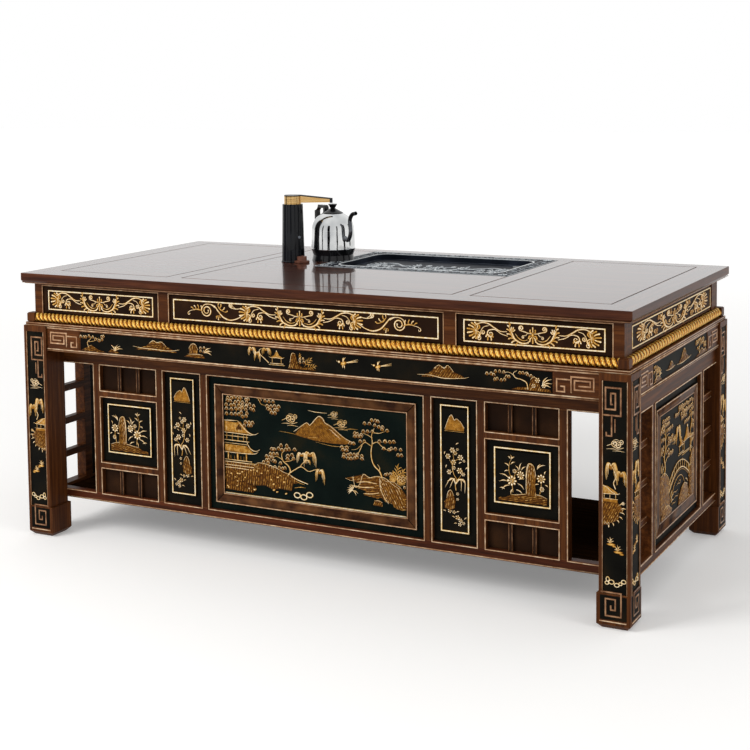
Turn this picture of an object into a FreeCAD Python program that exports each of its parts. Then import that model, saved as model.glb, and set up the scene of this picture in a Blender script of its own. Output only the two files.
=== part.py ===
import FreeCAD, Part

import math
import os
import re

import Sketcher

# Tea table of carved and lacquered hardwood with a stone tea tray, two drawers,
# a water spout and a kettle.  X runs along the table, the guests' side is at -Y,
# the host's side with the drawers at +Y, and the floor is at Z = 0.

doc = FreeCAD.newDocument("tea_table")
vector = FreeCAD.Vector

# Driving sizes in millimetres, angles in degrees
SIZES = {
    # whole table
    "length": 1800, "width": 900, "height": 760,
    # table top: mitred frame, two cross bars, three panels flush with them
    "slab_thick": 30, "slab_cove": 9,
    "border_front": 84, "border_rear": 54, "border_side": 76,
    "bar_place": 409, "bar_wide": 46, "bar_drop": 18,
    "panel_thick": 24, "groove_wide": 4, "groove_deep": 3,
    # stone tray let into the top
    "tray_long": 609, "tray_deep": 396, "tray_rim": 50, "tray_sink": 15,
    "tray_corner": 38, "drain_radius": 11, "drain_neck": 13,
    "drain_flange": 18, "drain_plate": 2, "drain_wall": 2, "drain_drop": 24, "drain_margin": 40,
    # waist under the top
    "waist_high": 120, "waist_inset": 27, "waist_thick": 22,
    "waist_sill": 33, "waist_head": 8, "corner_post": 27, "inner_post": 35,
    "waist_panel_thick": 16, "waist_field_rise": 5, "waist_field_gap": 3,
    "waist_panel_set": 3, "end_field_margin": 36,
    # moulding round the foot of the waist
    "fillet_high": 9, "fillet_inset": 7, "rope_high": 27, "rope_inset": 10.5,
    "rope_round": 12,
    # legs and feet
    "leg_inset": 3, "leg_wide": 78, "foot_wide": 84, "foot_high": 85,
    "foot_bevel": 11, "leg_field": 59, "leg_field_deep": 2, "leg_field_top": 16,
    # aprons between the legs
    "apron_high": 70, "apron_inset": 6, "apron_thick": 27, "apron_end": 114,
    "apron_margin": 8, "apron_field_deep": 2,
    # screen behind the front legs
    "rail_clear": 100, "rail_high": 25, "head_show": 45, "head_high": 53,
    "screen_thick": 24, "stile_wide": 26, "big_half": 326, "narrow_wide": 121,
    "square_wide": 191, "cross_rail": 21, "lattice_high": 71, "bar_thin": 12,
    "bar_set": 5, "bar_thick": 8, "back_thin": 6,
    "screen_panel_thick": 13, "panel_step": 5, "panel_set": 4,
    "small_margin": 25, "frame_margin": 22, "frame_wide": 25, "picture_sink": 4,
    # screens at the two ends
    "end_inset": 13, "end_thick": 32, "end_panel_half": 210, "end_stile": 30,
    "rung_high": 19, "rung_set": 12,
    # board that ties the screens together near the floor
    "board_thick": 15, "board_rear": 190,
    # two drawers on the host's side
    "drawer_gap": 2, "drawer_face": 18, "drawer_deep": 318, "drawer_wall": 10,
    "drawer_floor": 6, "drawer_inset": 14, "drawer_lift": 7, "drawer_head": 10,
    "runner_gap": 0.3, "runner_wide": 20, "runner_high": 18,
    "pull_plate": 11, "pull_plate_thick": 2, "pull_stem": 4, "pull_stem_long": 8,
    "pull_ball": 8,
    # water spout: hollow column, swivelling arm, key
    "spout_place_x": 309, "spout_place_y": 77,
    "column_foot": 34, "column_neck": 30.5, "column_high": 172, "column_wall": 2.5,
    "column_head": 5, "pivot_radius": 12, "pivot_clear": 0.06, "pivot_deep": 9,
    "collar_radius": 25, "collar_high": 27, "collar_clear": 0.3,
    "arm_turn": 29, "arm_reach": 119, "arm_wide": 18, "arm_tip_wide": 12,
    "arm_lift": 3.5, "tip_high": 8.5, "arm_bore": 3, "cover_thick": 4, "tip_long": 9,
    "tip_drop": 2, "tip_bore": 2.5,
    "motor_radius": 15, "motor_high": 62, "tube_radius": 3.5, "tube_clear": 1,
    "key_turn": -25, "key_place": 75, "key_radius": 4, "key_clear": 0.2,
    "key_proud": 1.2, "key_long": 6,
    "stub_radius": 10, "stub_long": 30, "stub_turn": -21,
    # kettle
    "kettle_place_x": 221, "kettle_place_y": 164, "kettle_turn": -27,
    "stand_radius": 64, "stand_neck": 60, "stand_high": 17, "boss_radius": 9,
    "boss_high": 3, "boss_room": 15, "foot_neck": 60, "ring_high": 19,
    "ring_floor": 4, "dome_radius": 66.5, "dome_shoulder": 64,
    "shoulder_high": 55, "dome_high": 104, "dome_top": 31, "dome_wall": 1.5,
    "mouth_radius": 26, "lid_rest": 31, "lid_thick": 2, "lid_spigot": 20,
    "lid_spigot_deep": 1.2, "lid_cone_high": 13, "lid_neck": 7, "knob_radius": 14,
    "knob_high": 13, "fill_radius": 4,
    "pipe_radius": 6, "pipe_bore": 4, "pipe_root": 24, "pipe_reach": 58,
    "pipe_tip": 100, "pipe_dip": 14, "pipe_lip": 10,
    "handle_thick": 9, "handle_wide": 15, "handle_top": 126, "handle_out": 88,
    "handle_low": 30, "handle_root_gap": 1.5,
}

# Places worked out from the driving sizes
PLACES = {
    "half_length": "length / 2", "half_width": "width / 2",
    "top_low": "height - slab_thick",
    "field_x": "half_length - border_side",
    "field_front": "half_width - border_front",
    "field_rear": "half_width - border_rear",
    "bar_outer": "bar_place + bar_wide", "bar_low": "top_low - bar_drop",
    "panel_low": "height - panel_thick", "groove_low": "height - groove_deep",
    "tray_left": "bar_place - tray_long", "tray_front": "field_rear - tray_deep",
    "basin_low": "height - tray_sink",
    "drain_x": "bar_place - tray_rim - drain_margin",
    "drain_y": "field_rear - tray_rim - drain_margin",
    "waist_x": "half_length - waist_inset", "waist_y": "half_width - waist_inset",
    "waist_back_x": "waist_x - waist_thick", "waist_back_y": "waist_y - waist_thick",
    "leg_top": "top_low - waist_high",
    "sill_top": "leg_top + waist_sill", "head_low": "top_low - waist_head",
    "post_outer": "bar_place + inner_post", "corner_in": "waist_x - corner_post",
    "leg_x": "half_length - leg_inset", "leg_y": "half_width - leg_inset",
    "leg_back_x": "leg_x - leg_wide", "leg_back_y": "leg_y - leg_wide",
    "apron_low": "leg_top - apron_high",
    "rail_top": "rail_clear + rail_high", "opening_top": "apron_low - head_show",
    "opening_high": "opening_top - rail_top",
    "screen_front": "leg_back_y", "screen_back": "leg_back_y - screen_thick",
    "end_face": "leg_x - end_inset", "end_back": "end_face - end_thick",
    "narrow_in": "big_half + stile_wide", "narrow_out": "narrow_in + narrow_wide",
    "square_in": "narrow_out + stile_wide", "square_out": "square_in + square_wide",
    "bay_in": "square_out + stile_wide",
    "lattice_top": "rail_top + lattice_high",
    "square_low": "lattice_top + cross_rail",
    "lattice_low": "opening_top - lattice_high",
    "square_high": "lattice_low - cross_rail",
    "end_stile_out": "end_panel_half + end_stile",
    "drawer_in": "post_outer + drawer_gap", "drawer_out": "corner_in - drawer_gap",
    "drawer_low": "sill_top + drawer_gap", "drawer_high": "head_low - drawer_gap",
    "box_in": "drawer_in + drawer_inset", "box_out": "drawer_out - drawer_inset",
    "box_low": "sill_top + drawer_lift", "box_high": "drawer_high - drawer_head",
    "box_back": "waist_y - drawer_face", "box_end": "box_back - drawer_deep",
    "runner_top": "box_low - runner_gap",
    "column_top": "height + column_high",
    "collar_low": "column_top + collar_clear",
    "column_floor": "height + column_wall",
    "key_wall": "column_foot - (column_foot - column_neck) * key_place / column_high",
    "key_seat": "key_wall + key_proud - key_long",
    "stand_top": "height + stand_high",
}

sheet = doc.addObject("Spreadsheet::Sheet", "Dims")
for row, (alias, size) in enumerate(SIZES.items(), start=1):
    sheet.set("A%d" % row, alias)
    sheet.set("B%d" % row, str(size))
    sheet.setAlias("B%d" % row, alias)
for row, (alias, formula) in enumerate(PLACES.items(), start=len(SIZES) + 1):
    sheet.set("A%d" % row, alias)
    sheet.set("B%d" % row, "=" + formula)
    sheet.setAlias("B%d" % row, alias)
doc.recompute()


def over_sheet(formula):
    """Turn a formula in the sheet's aliases into an expression of the document."""
    return re.sub(r"[a-z][a-z_]*", lambda word: "Dims." + word.group(), formula)


def size(formula):
    """The present value of a formula in the sheet's aliases."""
    value = sheet.evalExpression(over_sheet(formula))
    return float(getattr(value, "Value", value))


def bind(thing, **formulas):
    """Bind properties of an object to formulas over the sheet."""
    for name, formula in formulas.items():
        thing.setExpression(name, over_sheet(formula))


def place(thing, x, y, z, turn="0", axis=(0, 0, 1)):
    """Put an object at a point given by three formulas, turned about an axis."""
    thing.Placement = FreeCAD.Placement(vector(), FreeCAD.Rotation(vector(*axis), size(turn)))
    for name, formula in zip("xyz", (x, y, z)):
        thing.setExpression("Placement.Base." + name, over_sheet(formula))
    return thing


def block(label, x, y, z):
    """A board between two faces along each axis, every face a formula."""
    board = doc.addObject("Part::Box", label)
    board.Label = label
    for side, (low, high) in zip(("Length", "Width", "Height"), (x, y, z)):
        board.setExpression(side, over_sheet("(%s) - (%s)" % (high, low)))
    return place(board, x[0], y[0], z[0])


def both(near, far, side):
    """The two faces of a piece that lies between two distances from the middle, on one side of it."""
    return (near, far) if side > 0 else ("-(%s)" % far, "-(%s)" % near)


ALONG_X = dict(turn="90", axis=(0, 1, 0))
ALONG_Y = dict(turn="-90", axis=(1, 0, 0))


def rod(label, radius, high, x, y, z, turn="0", axis=(0, 0, 1)):
    """A round bar that runs from its placement point, upwards unless it is turned."""
    bar = doc.addObject("Part::Cylinder", label)
    bar.Label = label
    bind(bar, Radius=radius, Height=high)
    return place(bar, x, y, z, turn, axis)


def joined(label, *pieces):
    """One solid made of pieces glued or worked in one."""
    whole = doc.addObject("Part::MultiFuse", label)
    whole.Label = label
    whole.Shapes = list(pieces)
    whole.Refine = True
    return whole


def together(label, *pieces):
    """Like pieces kept as separate solids under one name."""
    group = doc.addObject("Part::Compound", label)
    group.Label = label
    group.Links = list(pieces)
    return group


def carved(label, stock, *cutters):
    """A piece of stock with the cutters taken away."""
    result = doc.addObject("Part::Cut", label)
    result.Label = label
    result.Base = stock
    result.Tool = cutters[0] if len(cutters) == 1 else together(label + "_cutters", *cutters)
    return result


ZERO = "0"


def outline(body, name, role, corners, lift=ZERO):
    """A closed outline in a body. A corner is two formulas, and a third is the radius of an arc from it."""
    sketch = body.newObject("Sketcher::SketchObject", name)
    plane = next(feature for feature in body.Origin.OriginFeatures if feature.Role == role)
    sketch.AttachmentSupport = [(plane, "")]
    sketch.MapMode = "FlatFace"
    sketch.setExpression("AttachmentOffset.Base.z", over_sheet(lift))
    points = [vector(size(corner[0]), size(corner[1]), 0) for corner in corners]
    count = len(points)
    for index, corner in enumerate(corners):
        start, end = points[index], points[(index + 1) % count]
        if len(corner) < 3:
            sketch.addGeometry(Part.LineSegment(start, end))
            continue
        radius, half = size(corner[2]), (end - start) * 0.5
        bulge = abs(radius) - math.sqrt(radius ** 2 - half.Length ** 2)
        outward = vector(half.y, -half.x, 0).normalize() * math.copysign(bulge, radius)
        sketch.addGeometry(Part.Arc(start, start + half + outward, end))

    def end_at(side, point):
        return min((1, 2), key=lambda end: (sketch.getPoint(side, end) - point).Length)

    starts = [end_at(index, points[index]) for index in range(count)]
    for index in range(count):
        following = (index + 1) % count
        sketch.addConstraint(Sketcher.Constraint(
            "Coincident", index, 3 - starts[index], following, starts[following]))
    for index, corner in enumerate(corners):
        for kind, formula, here in zip(("DistanceX", "DistanceY"), corner, points[index]):
            number = sketch.addConstraint(Sketcher.Constraint(kind, -1, 1, index, starts[index], here))
            sketch.setExpression("Constraints[%d]" % number, over_sheet(formula))
        if len(corner) == 3:
            radius = Sketcher.Constraint("Radius", index, abs(size(corner[2])))
            number = sketch.addConstraint(radius)
            sketch.setExpression("Constraints[%d]" % number, over_sheet("abs(%s)" % corner[2])
                                 .replace("Dims.abs", "abs"))
    return sketch


pieces = []


def keep(thing):
    """Count an object among the table's pieces."""
    pieces.append(thing)
    return thing


def new_body(label):
    body = doc.addObject("PartDesign::Body", label)
    body.Label = label
    return body


def add_pad(body, name, corners, low, high):
    """Raise an outline of the XY plane from one height to another."""
    pad = body.newObject("PartDesign::Pad", name)
    pad.Profile = outline(body, name + "_outline", "XY_Plane", corners, low)
    bind(pad, Length="(%s) - (%s)" % (high, low))
    body.Tip = pad
    return pad


def add_pocket(body, name, corners, top, deep):
    """Sink an outline of the XY plane from a height downwards."""
    pocket = body.newObject("PartDesign::Pocket", name)
    pocket.Profile = outline(body, name + "_outline", "XY_Plane", corners, top)
    bind(pocket, Length=deep)
    body.Tip = pocket
    return pocket


def add_turning(body, kind, name, corners):
    """Turn an outline of the XZ plane about the upright axis, added or taken away."""
    turning = body.newObject("PartDesign::" + kind, name)
    turning.Profile = outline(body, name + "_outline", "XZ_Plane", corners)
    turning.ReferenceAxis = (turning.Profile[0], ["V_Axis"])
    turning.Angle = 360
    body.Tip = turning
    return turning


def dress(body, kind, name, amount, wanted):
    """Chamfer or fillet the edges of the body's last feature that a test picks out."""
    doc.recompute()
    last = body.Tip
    names = ["Edge%d" % number for number, edge in enumerate(last.Shape.Edges, start=1) if wanted(edge)]
    feature = body.newObject("PartDesign::" + kind, name)
    feature.Base = (last, names)
    bind(feature, **{"Size" if kind == "Chamfer" else "Radius": amount})
    body.Tip = feature
    return feature


CLOSE_SHARE = 0.00004


def close_to(value, formula):
    """Whether a coordinate is that of a formula, but for a tiny share of the table's height."""
    return abs(value - size(formula)) < CLOSE_SHARE * size("height")


def level(edge, formula):
    """Whether an edge lies at a height."""
    return all(close_to(vertex.Z, formula) for vertex in edge.Vertexes)


def upright(edge, low, high):
    """Whether an edge rises from one height to another."""
    heights = sorted(vertex.Z for vertex in edge.Vertexes)
    return len(heights) == 2 and close_to(heights[0], low) and close_to(heights[1], high)


def rectangle(x_low, x_high, y_low, y_high):
    return [(x_low, y_low), (x_high, y_low), (x_high, y_high), (x_low, y_high)]


def mitred(side, out_x, out_y, in_x, in_front, in_rear):
    """Corners of one board of a mitred frame, seen from above."""
    points = {"front_left": ("-(%s)" % out_x, "-(%s)" % out_y), "front_right": (out_x, "-(%s)" % out_y),
              "rear_right": (out_x, out_y), "rear_left": ("-(%s)" % out_x, out_y)}
    inner = {"front_left": ("-(%s)" % in_x, "-(%s)" % in_front), "front_right": (in_x, "-(%s)" % in_front),
             "rear_right": (in_x, in_rear), "rear_left": ("-(%s)" % in_x, in_rear)}
    start, end = {"front": ("front_left", "front_right"), "right": ("front_right", "rear_right"),
                  "rear": ("rear_right", "rear_left"), "left": ("rear_left", "front_left")}[side]
    return [points[start], points[end], inner[end], inner[start]]


SIDES = ("front", "right", "rear", "left")


def outermost(edge, side, along_x, along_y):
    """Whether an edge lies on the outer face of one side of a frame."""
    if side in ("front", "rear"):
        return all(close_to(abs(vertex.Y), along_y) for vertex in edge.Vertexes)
    return all(close_to(abs(vertex.X), along_x) for vertex in edge.Vertexes)


# Table top: four mitred frame boards with a coved lower edge
for side in SIDES:
    board = keep(new_body("top_frame_" + side))
    corners = mitred(side, "half_length", "half_width", "field_x", "field_front", "field_rear")
    add_pad(board, "board_" + side, corners, "top_low", "height")
    dress(board, "Chamfer", "cove_" + side, "slab_cove", lambda edge: (
        level(edge, "top_low") and outermost(edge, side, "half_length", "half_width")))

# Two cross bars that reach under the panels
keep(together("top_cross_bars", *[
    block("cross_bar_%s" % name, both("bar_place", "bar_outer", side), ("-field_front", "field_rear"),
          ("bar_low", "height"))
    for name, side in (("left", -1), ("right", 1))]))


def grooved(label, x, y):
    """A panel of the top whose upper edge is rebated, so that a dark groove shows round it."""
    low = block(label + "_low", x, y, ("panel_low", "groove_low"))
    inner_x = (x[0] + " + groove_wide", x[1] + " - groove_wide")
    inner_y = (y[0] + " + groove_wide", y[1] + " - groove_wide")
    high = block(label + "_high", inner_x, inner_y, ("groove_low", "height"))
    return joined(label, low, high)


FIELD_Y = ("-field_front", "field_rear")
keep(grooved("top_panel_left", ("-field_x", "-bar_outer"), FIELD_Y))
keep(grooved("top_panel_right", ("bar_outer", "field_x"), FIELD_Y))
tray_room = block("tray_room", ("tray_left", "bar_place"), ("tray_front", "field_rear"),
                  ("panel_low - slab_thick", "height + slab_thick"))
keep(carved("top_panel_centre", grooved("centre_stock", ("-bar_place", "bar_place"), FIELD_Y), tray_room))

# Stone tray with a sunk basin that has rounded corners
stone = new_body("tray_stone")
tray_edge = rectangle("tray_left", "bar_place", "tray_front", "field_rear")
add_pad(stone, "tray_slab", tray_edge, "top_low", "height")
add_pocket(stone, "basin", rectangle("tray_left + tray_rim", "bar_place - tray_rim",
                                     "tray_front + tray_rim", "field_rear - tray_rim"), "height", "tray_sink")
dress(stone, "Fillet", "basin_corners", "tray_corner", lambda edge: upright(edge, "basin_low", "height"))
drain_hole = rod("drain_hole", "drain_neck", "3 * slab_thick", "drain_x", "drain_y", "top_low - slab_thick")
keep(carved("tea_tray", stone, drain_hole))

# Drain: a flange that lies in the basin, a neck through the stone and a narrower spigot for the hose
drain = joined(
    "drain_solid",
    rod("drain_disc", "drain_flange", "drain_plate", "drain_x", "drain_y", "basin_low"),
    rod("drain_throat", "drain_neck", "basin_low - top_low", "drain_x", "drain_y", "top_low"),
    rod("drain_pipe", "drain_radius", "drain_drop", "drain_x", "drain_y", "top_low - drain_drop"))
keep(carved("tray_drain", drain, rod("drain_bore", "drain_radius - drain_wall", "3 * slab_thick",
                                     "drain_x", "drain_y", "top_low - slab_thick")))


def facing(label, towards, across, depth, z):
    """A board upright behind a face that looks along a signed axis, its depth given as two distances out."""
    axis, sign = towards
    out = both(depth[0], depth[1], sign)
    return block(label, out, across, z) if axis == "x" else block(label, across, out, z)


def inset(span, gap):
    return ("%s + %s" % (span[0], gap), "%s - %s" % (span[1], gap))


def fielded(label, towards, across, z, face, thick, rise, gap):
    """A panel that fills its opening, with a field that rises from it within a gap all round."""
    back = facing(label + "_back", towards, across, ("%s - %s" % (face, thick), "%s - %s" % (face, rise)), z)
    field = facing(label + "_field", towards, inset(across, gap), ("%s - %s" % (face, rise), face),
                   inset(z, gap))
    return joined(label, back, field)


# Waist: front board with three windows, each closed by a panel that looks like a drawer
WAIST_Z = ("leg_top", "top_low")
WINDOW_Z = ("sill_top", "head_low")
SIDE_WINDOW = ("post_outer", "corner_in")
CENTRE_WINDOW = ("-bar_place", "bar_place")
front_stock = block("waist_front_stock", ("-waist_x", "waist_x"), ("-waist_y", "-waist_back_y"), WAIST_Z)
THROUGH_FRONT = ("-waist_y - waist_thick", "-waist_back_y + waist_thick")
front_windows = {"left": both(*SIDE_WINDOW, -1), "centre": CENTRE_WINDOW, "right": both(*SIDE_WINDOW, 1)}
keep(carved("waist_frame_front", front_stock, *[
    block("front_window_" + name, across, THROUGH_FRONT, WINDOW_Z)
    for name, across in front_windows.items()]))
for name, across in front_windows.items():
    keep(fielded("waist_panel_" + name, ("y", -1), across, WINDOW_Z, "waist_y - waist_panel_set",
                 "waist_panel_thick", "waist_field_rise", "waist_field_gap"))


def sunk_field(label, stock, towards, across, face):
    """A board with a sunk bed and a carved field standing in it."""
    bed = facing(label + "_bed", towards, across,
                 ("%s - waist_panel_set - waist_field_rise" % face, "%s + waist_thick" % face), WINDOW_Z)
    field = facing(label + "_field", towards, inset(across, "waist_field_gap"),
                   ("%s - waist_panel_set - waist_field_rise" % face, "%s - waist_panel_set" % face),
                   inset(WINDOW_Z, "waist_field_gap"))
    return joined(label, carved(label + "_board", stock, bed), field)


# Waist boards at the two ends, each with one carved field
for name, sign in (("left", -1), ("right", 1)):
    end_stock = block("waist_end_stock_" + name, both("waist_back_x", "waist_x", sign),
                      ("-waist_back_y", "waist_back_y"), WAIST_Z)
    keep(sunk_field("waist_end_" + name, end_stock, ("x", sign),
                    ("end_field_margin - waist_back_y", "waist_back_y - end_field_margin"), "waist_x"))

# Rear waist board: a drawer opening at each end and a carved field between them
rear_stock = block("waist_rear_stock", ("-waist_x", "waist_x"), ("waist_back_y", "waist_y"), WAIST_Z)
THROUGH_REAR = ("waist_back_y - waist_thick", "waist_y + waist_thick")
drawer_openings = [block("drawer_opening_" + name, both(*SIDE_WINDOW, sign), THROUGH_REAR, WINDOW_Z)
                   for name, sign in (("left", -1), ("right", 1))]
keep(sunk_field("waist_frame_rear", carved("rear_with_openings", rear_stock, *drawer_openings),
                ("y", 1), CENTRE_WINDOW, "waist_y"))

# Moulding round the foot of the waist: a flat fillet with a rounded roll above it, mitred at the corners
runs = []
for side in SIDES:
    run = new_body("moulding_" + side)
    strip, roll = [
        mitred(side, "half_length - " + step, "half_width - " + step, "waist_x", "waist_y", "waist_y")
        for step in ("fillet_inset", "rope_inset")]
    add_pad(run, "strip_" + side, strip, "leg_top", "leg_top + fillet_high")
    add_pad(run, "roll_" + side, roll, "leg_top + fillet_high", "leg_top + fillet_high + rope_high")
    dress(run, "Fillet", "round_" + side, "rope_round", lambda edge: (
        level(edge, "leg_top + fillet_high + rope_high")
        and outermost(edge, side, "half_length - rope_inset", "half_width - rope_inset")))
    runs.append(run)
keep(together("rope_moulding", *runs))

# Legs: square posts on stepped feet, with a sunk lacquer field in each outer face
LEG_FIELD = ("(leg_wide - leg_field) / 2", "(leg_wide + leg_field) / 2")
LEG_TURNS = {"leg_front_right": (1, -1, "0"), "leg_rear_right": (1, 1, "90"),
             "leg_rear_left": (-1, 1, "180"), "leg_front_left": (-1, -1, "270")}
for label, (sign_x, sign_y, turn) in LEG_TURNS.items():
    leg = keep(new_body(label))
    add_pad(leg, label + "_post", rectangle("-leg_wide", ZERO, ZERO, "leg_wide"), ZERO, "leg_top")
    add_pad(leg, label + "_foot", rectangle("-foot_wide", ZERO, ZERO, "foot_wide"), ZERO, "foot_high")
    dress(leg, "Chamfer", label + "_bevel", "foot_bevel", lambda edge: level(edge, ZERO))
    field_top, field_run = "leg_top - leg_field_top", "leg_top - leg_field_top - foot_high"
    add_pocket(leg, label + "_field_x", rectangle("-leg_field_deep", "leg_field_deep", *LEG_FIELD),
               field_top, field_run)
    add_pocket(leg, label + "_field_y", rectangle("-(%s)" % LEG_FIELD[1], "-(%s)" % LEG_FIELD[0],
                                                  "-leg_field_deep", "leg_field_deep"), field_top, field_run)
    place(leg, "%d * leg_x" % sign_x, "%d * leg_y" % sign_y, ZERO, turn)

# Aprons between the legs, with a sunk field between two fret ends
for name, towards in {"front": ("y", -1), "rear": ("y", 1), "left": ("x", -1), "right": ("x", 1)}.items():
    reach = "leg_back_x" if towards[0] == "y" else "leg_back_y"
    span = ("-" + reach, reach)
    face = "leg_%s - apron_inset" % towards[0]
    board = facing("apron_board_" + name, towards, span, ("%s - apron_thick" % face, face),
                   ("apron_low", "leg_top"))
    field = facing("apron_field_" + name, towards, inset(span, "apron_end"),
                   ("%s - apron_field_deep" % face, "%s + apron_field_deep" % face),
                   inset(("apron_low", "leg_top"), "apron_margin"))
    keep(carved("apron_" + name, board, field))

# Screen behind the front legs: two long rails, and between them stiles and short rails
SCREEN_Y = ("-screen_front", "-screen_back")
OPENING_Z = ("rail_top", "opening_top")
SCREEN_X = ("-end_back", "end_back")
keep(block("front_bottom_rail", SCREEN_X, SCREEN_Y, ("rail_clear", "rail_top")))
keep(block("front_top_rail", SCREEN_X, SCREEN_Y, ("opening_top", "opening_top + head_high")))
HANDS = (("left", -1), ("right", 1))
STILES = {"inner": ("big_half", "narrow_in"), "middle": ("narrow_out", "square_in"),
          "outer": ("square_out", "bay_in")}
SHORT_RAILS = {"low": ("lattice_top", "square_low"), "high": ("square_high", "lattice_low")}
LATTICES = {"low": ("rail_top", "lattice_top"), "high": ("lattice_low", "opening_top")}
keep(together(
    "front_screen_frame",
    *[block("%s_stile_%s" % (which, name), both(*span, sign), SCREEN_Y, OPENING_Z)
      for name, sign in HANDS for which, span in STILES.items()],
    *[block("%s_short_rail_%s" % (which, name), both("square_in", "square_out", sign), SCREEN_Y, z)
      for name, sign in HANDS for which, z in SHORT_RAILS.items()]))

# Lattices above and below the square panels: two thin bars before a dark board
BAR_Y = ("-screen_front + bar_set", "-screen_front + bar_set + bar_thick")
BACK_Y = (BAR_Y[1], BAR_Y[1] + " + back_thin")
THIRDS = (1, 2)
keep(together("lattice_bars", *[
    block("bar_%s_%s_%d" % (which, name, third),
          both("square_in + square_wide * %d / 3 - bar_thin / 2" % third,
               "square_in + square_wide * %d / 3 + bar_thin / 2" % third, sign), BAR_Y, z)
    for name, sign in HANDS for which, z in LATTICES.items() for third in THIRDS]))
keep(together("lattice_boards", *[
    block("back_%s_%s" % (which, name), both("square_in", "square_out", sign), BACK_Y, z)
    for name, sign in HANDS for which, z in LATTICES.items()]))

# Lacquer panels of the front screen
PANEL_FACE = "screen_front - panel_set"
for name, sign in HANDS:
    keep(fielded("narrow_panel_" + name, ("y", -1), both("narrow_in", "narrow_out", sign), OPENING_Z,
                 PANEL_FACE, "screen_panel_thick", "panel_step", "small_margin"))
    keep(fielded("square_panel_" + name, ("y", -1), both("square_in", "square_out", sign),
                 ("square_low", "square_high"), PANEL_FACE,
                 "screen_panel_thick", "panel_step", "small_margin"))
BIG_X = ("-big_half", "big_half")
big_stock = fielded("big_panel_stock", ("y", -1), BIG_X, OPENING_Z, PANEL_FACE,
                    "screen_panel_thick", "panel_step", "frame_margin")
FRAME_INSET = "(frame_margin + frame_wide)"
keep(carved("big_panel", big_stock, facing(
    "picture_bed", ("y", -1), inset(BIG_X, FRAME_INSET),
    (PANEL_FACE + " - picture_sink", PANEL_FACE + " + picture_sink"), inset(OPENING_Z, FRAME_INSET))))

# Screens between the legs at the two ends: rails, stiles, ladder rungs and one carved panel
RUNGS = (1, 2, 3)
RUNG_STEP = "(opening_high - 3 * rung_high) / 4"
for name, sign in HANDS:
    depth = ("end_back", "end_face")
    rung_depth = ("end_back", "end_face - rung_set")
    whole_y = ("-leg_back_y", "leg_back_y")
    parts = [facing("end_bottom_rail_" + name, ("x", sign), whole_y, depth, ("rail_clear", "rail_top")),
             facing("end_top_rail_" + name, ("x", sign), whole_y, depth, ("opening_top", "apron_low"))]
    for bay, bay_sign in (("front", -1), ("rear", 1)):
        parts.append(facing("end_stile_%s_%s" % (name, bay), ("x", sign),
                            both("end_panel_half", "end_stile_out", bay_sign), depth, OPENING_Z))
        for rung in RUNGS:
            foot = "rail_top + %d * (%s + rung_high) - rung_high" % (rung, RUNG_STEP)
            parts.append(facing("rung_%s_%s_%d" % (name, bay, rung), ("x", sign),
                                both("end_stile_out", "leg_back_y", bay_sign), rung_depth,
                                (foot, foot + " + rung_high")))
    keep(together("end_screen_" + name, *parts))
    keep(fielded("end_panel_" + name, ("x", sign), ("-end_panel_half", "end_panel_half"), OPENING_Z,
                 "end_face - panel_set", "screen_panel_thick", "panel_step", "frame_margin"))

# Board near the floor that ties the three screens together
keep(block("bottom_board", SCREEN_X, ("-screen_back", "board_rear"),
           ("rail_clear", "rail_clear + board_thick")))

# Two drawers that open towards the host, each on a pair of runners
runners = []
for name, sign in HANDS:
    face = block("drawer_face_" + name, both("drawer_in", "drawer_out", sign), ("box_back", "waist_y"),
                 ("drawer_low", "drawer_high"))
    box = block("drawer_box_" + name, both("box_in", "box_out", sign), ("box_end", "box_back"),
                ("box_low", "box_high"))
    hollow = block("drawer_hollow_" + name, both("box_in + drawer_wall", "box_out - drawer_wall", sign),
                   ("box_end + drawer_wall", "box_back"),
                   ("box_low + drawer_floor", "box_high + drawer_head"))
    keep(carved("drawer_" + name, joined("drawer_stock_" + name, face, box), hollow))
    pull_x = "%d * (drawer_in + drawer_out) / 2" % sign
    pull_z = "(drawer_low + drawer_high) / 2"
    plate = rod("pull_plate_" + name, "pull_plate", "pull_plate_thick", pull_x, "waist_y", pull_z, **ALONG_Y)
    stem = rod("pull_stem_" + name, "pull_stem", "pull_stem_long",
               pull_x, "waist_y + pull_plate_thick", pull_z, **ALONG_Y)
    ball = doc.addObject("Part::Sphere", "pull_ball_" + name)
    bind(ball, Radius="pull_ball")
    place(ball, pull_x, "waist_y + pull_plate_thick + pull_stem_long + pull_ball / 2", pull_z)
    keep(joined("drawer_pull_" + name, plate, stem, ball))
    for which, span in {"inner": ("box_in", "box_in + runner_wide"),
                        "outer": ("box_out - runner_wide", "box_out")}.items():
        runners.append(block("runner_%s_%s" % (which, name), both(*span, sign),
                             ("-waist_back_y", "waist_back_y"), ("runner_top - runner_high", "runner_top")))
keep(together("drawer_runners", *runners))

# Water spout: a hollow column that stands on the top and holds the pump
SPOUT = ("-spout_place_x", "spout_place_y")
SPOUT_BASE = (*SPOUT, "height")


def column_form(label):
    """The outer form of the column, solid."""
    form = new_body(label)
    add_turning(form, "Revolution", label + "_turn", [
        (ZERO, ZERO), ("column_foot", ZERO), ("column_neck", "column_high"), (ZERO, "column_high")])
    return form


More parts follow.
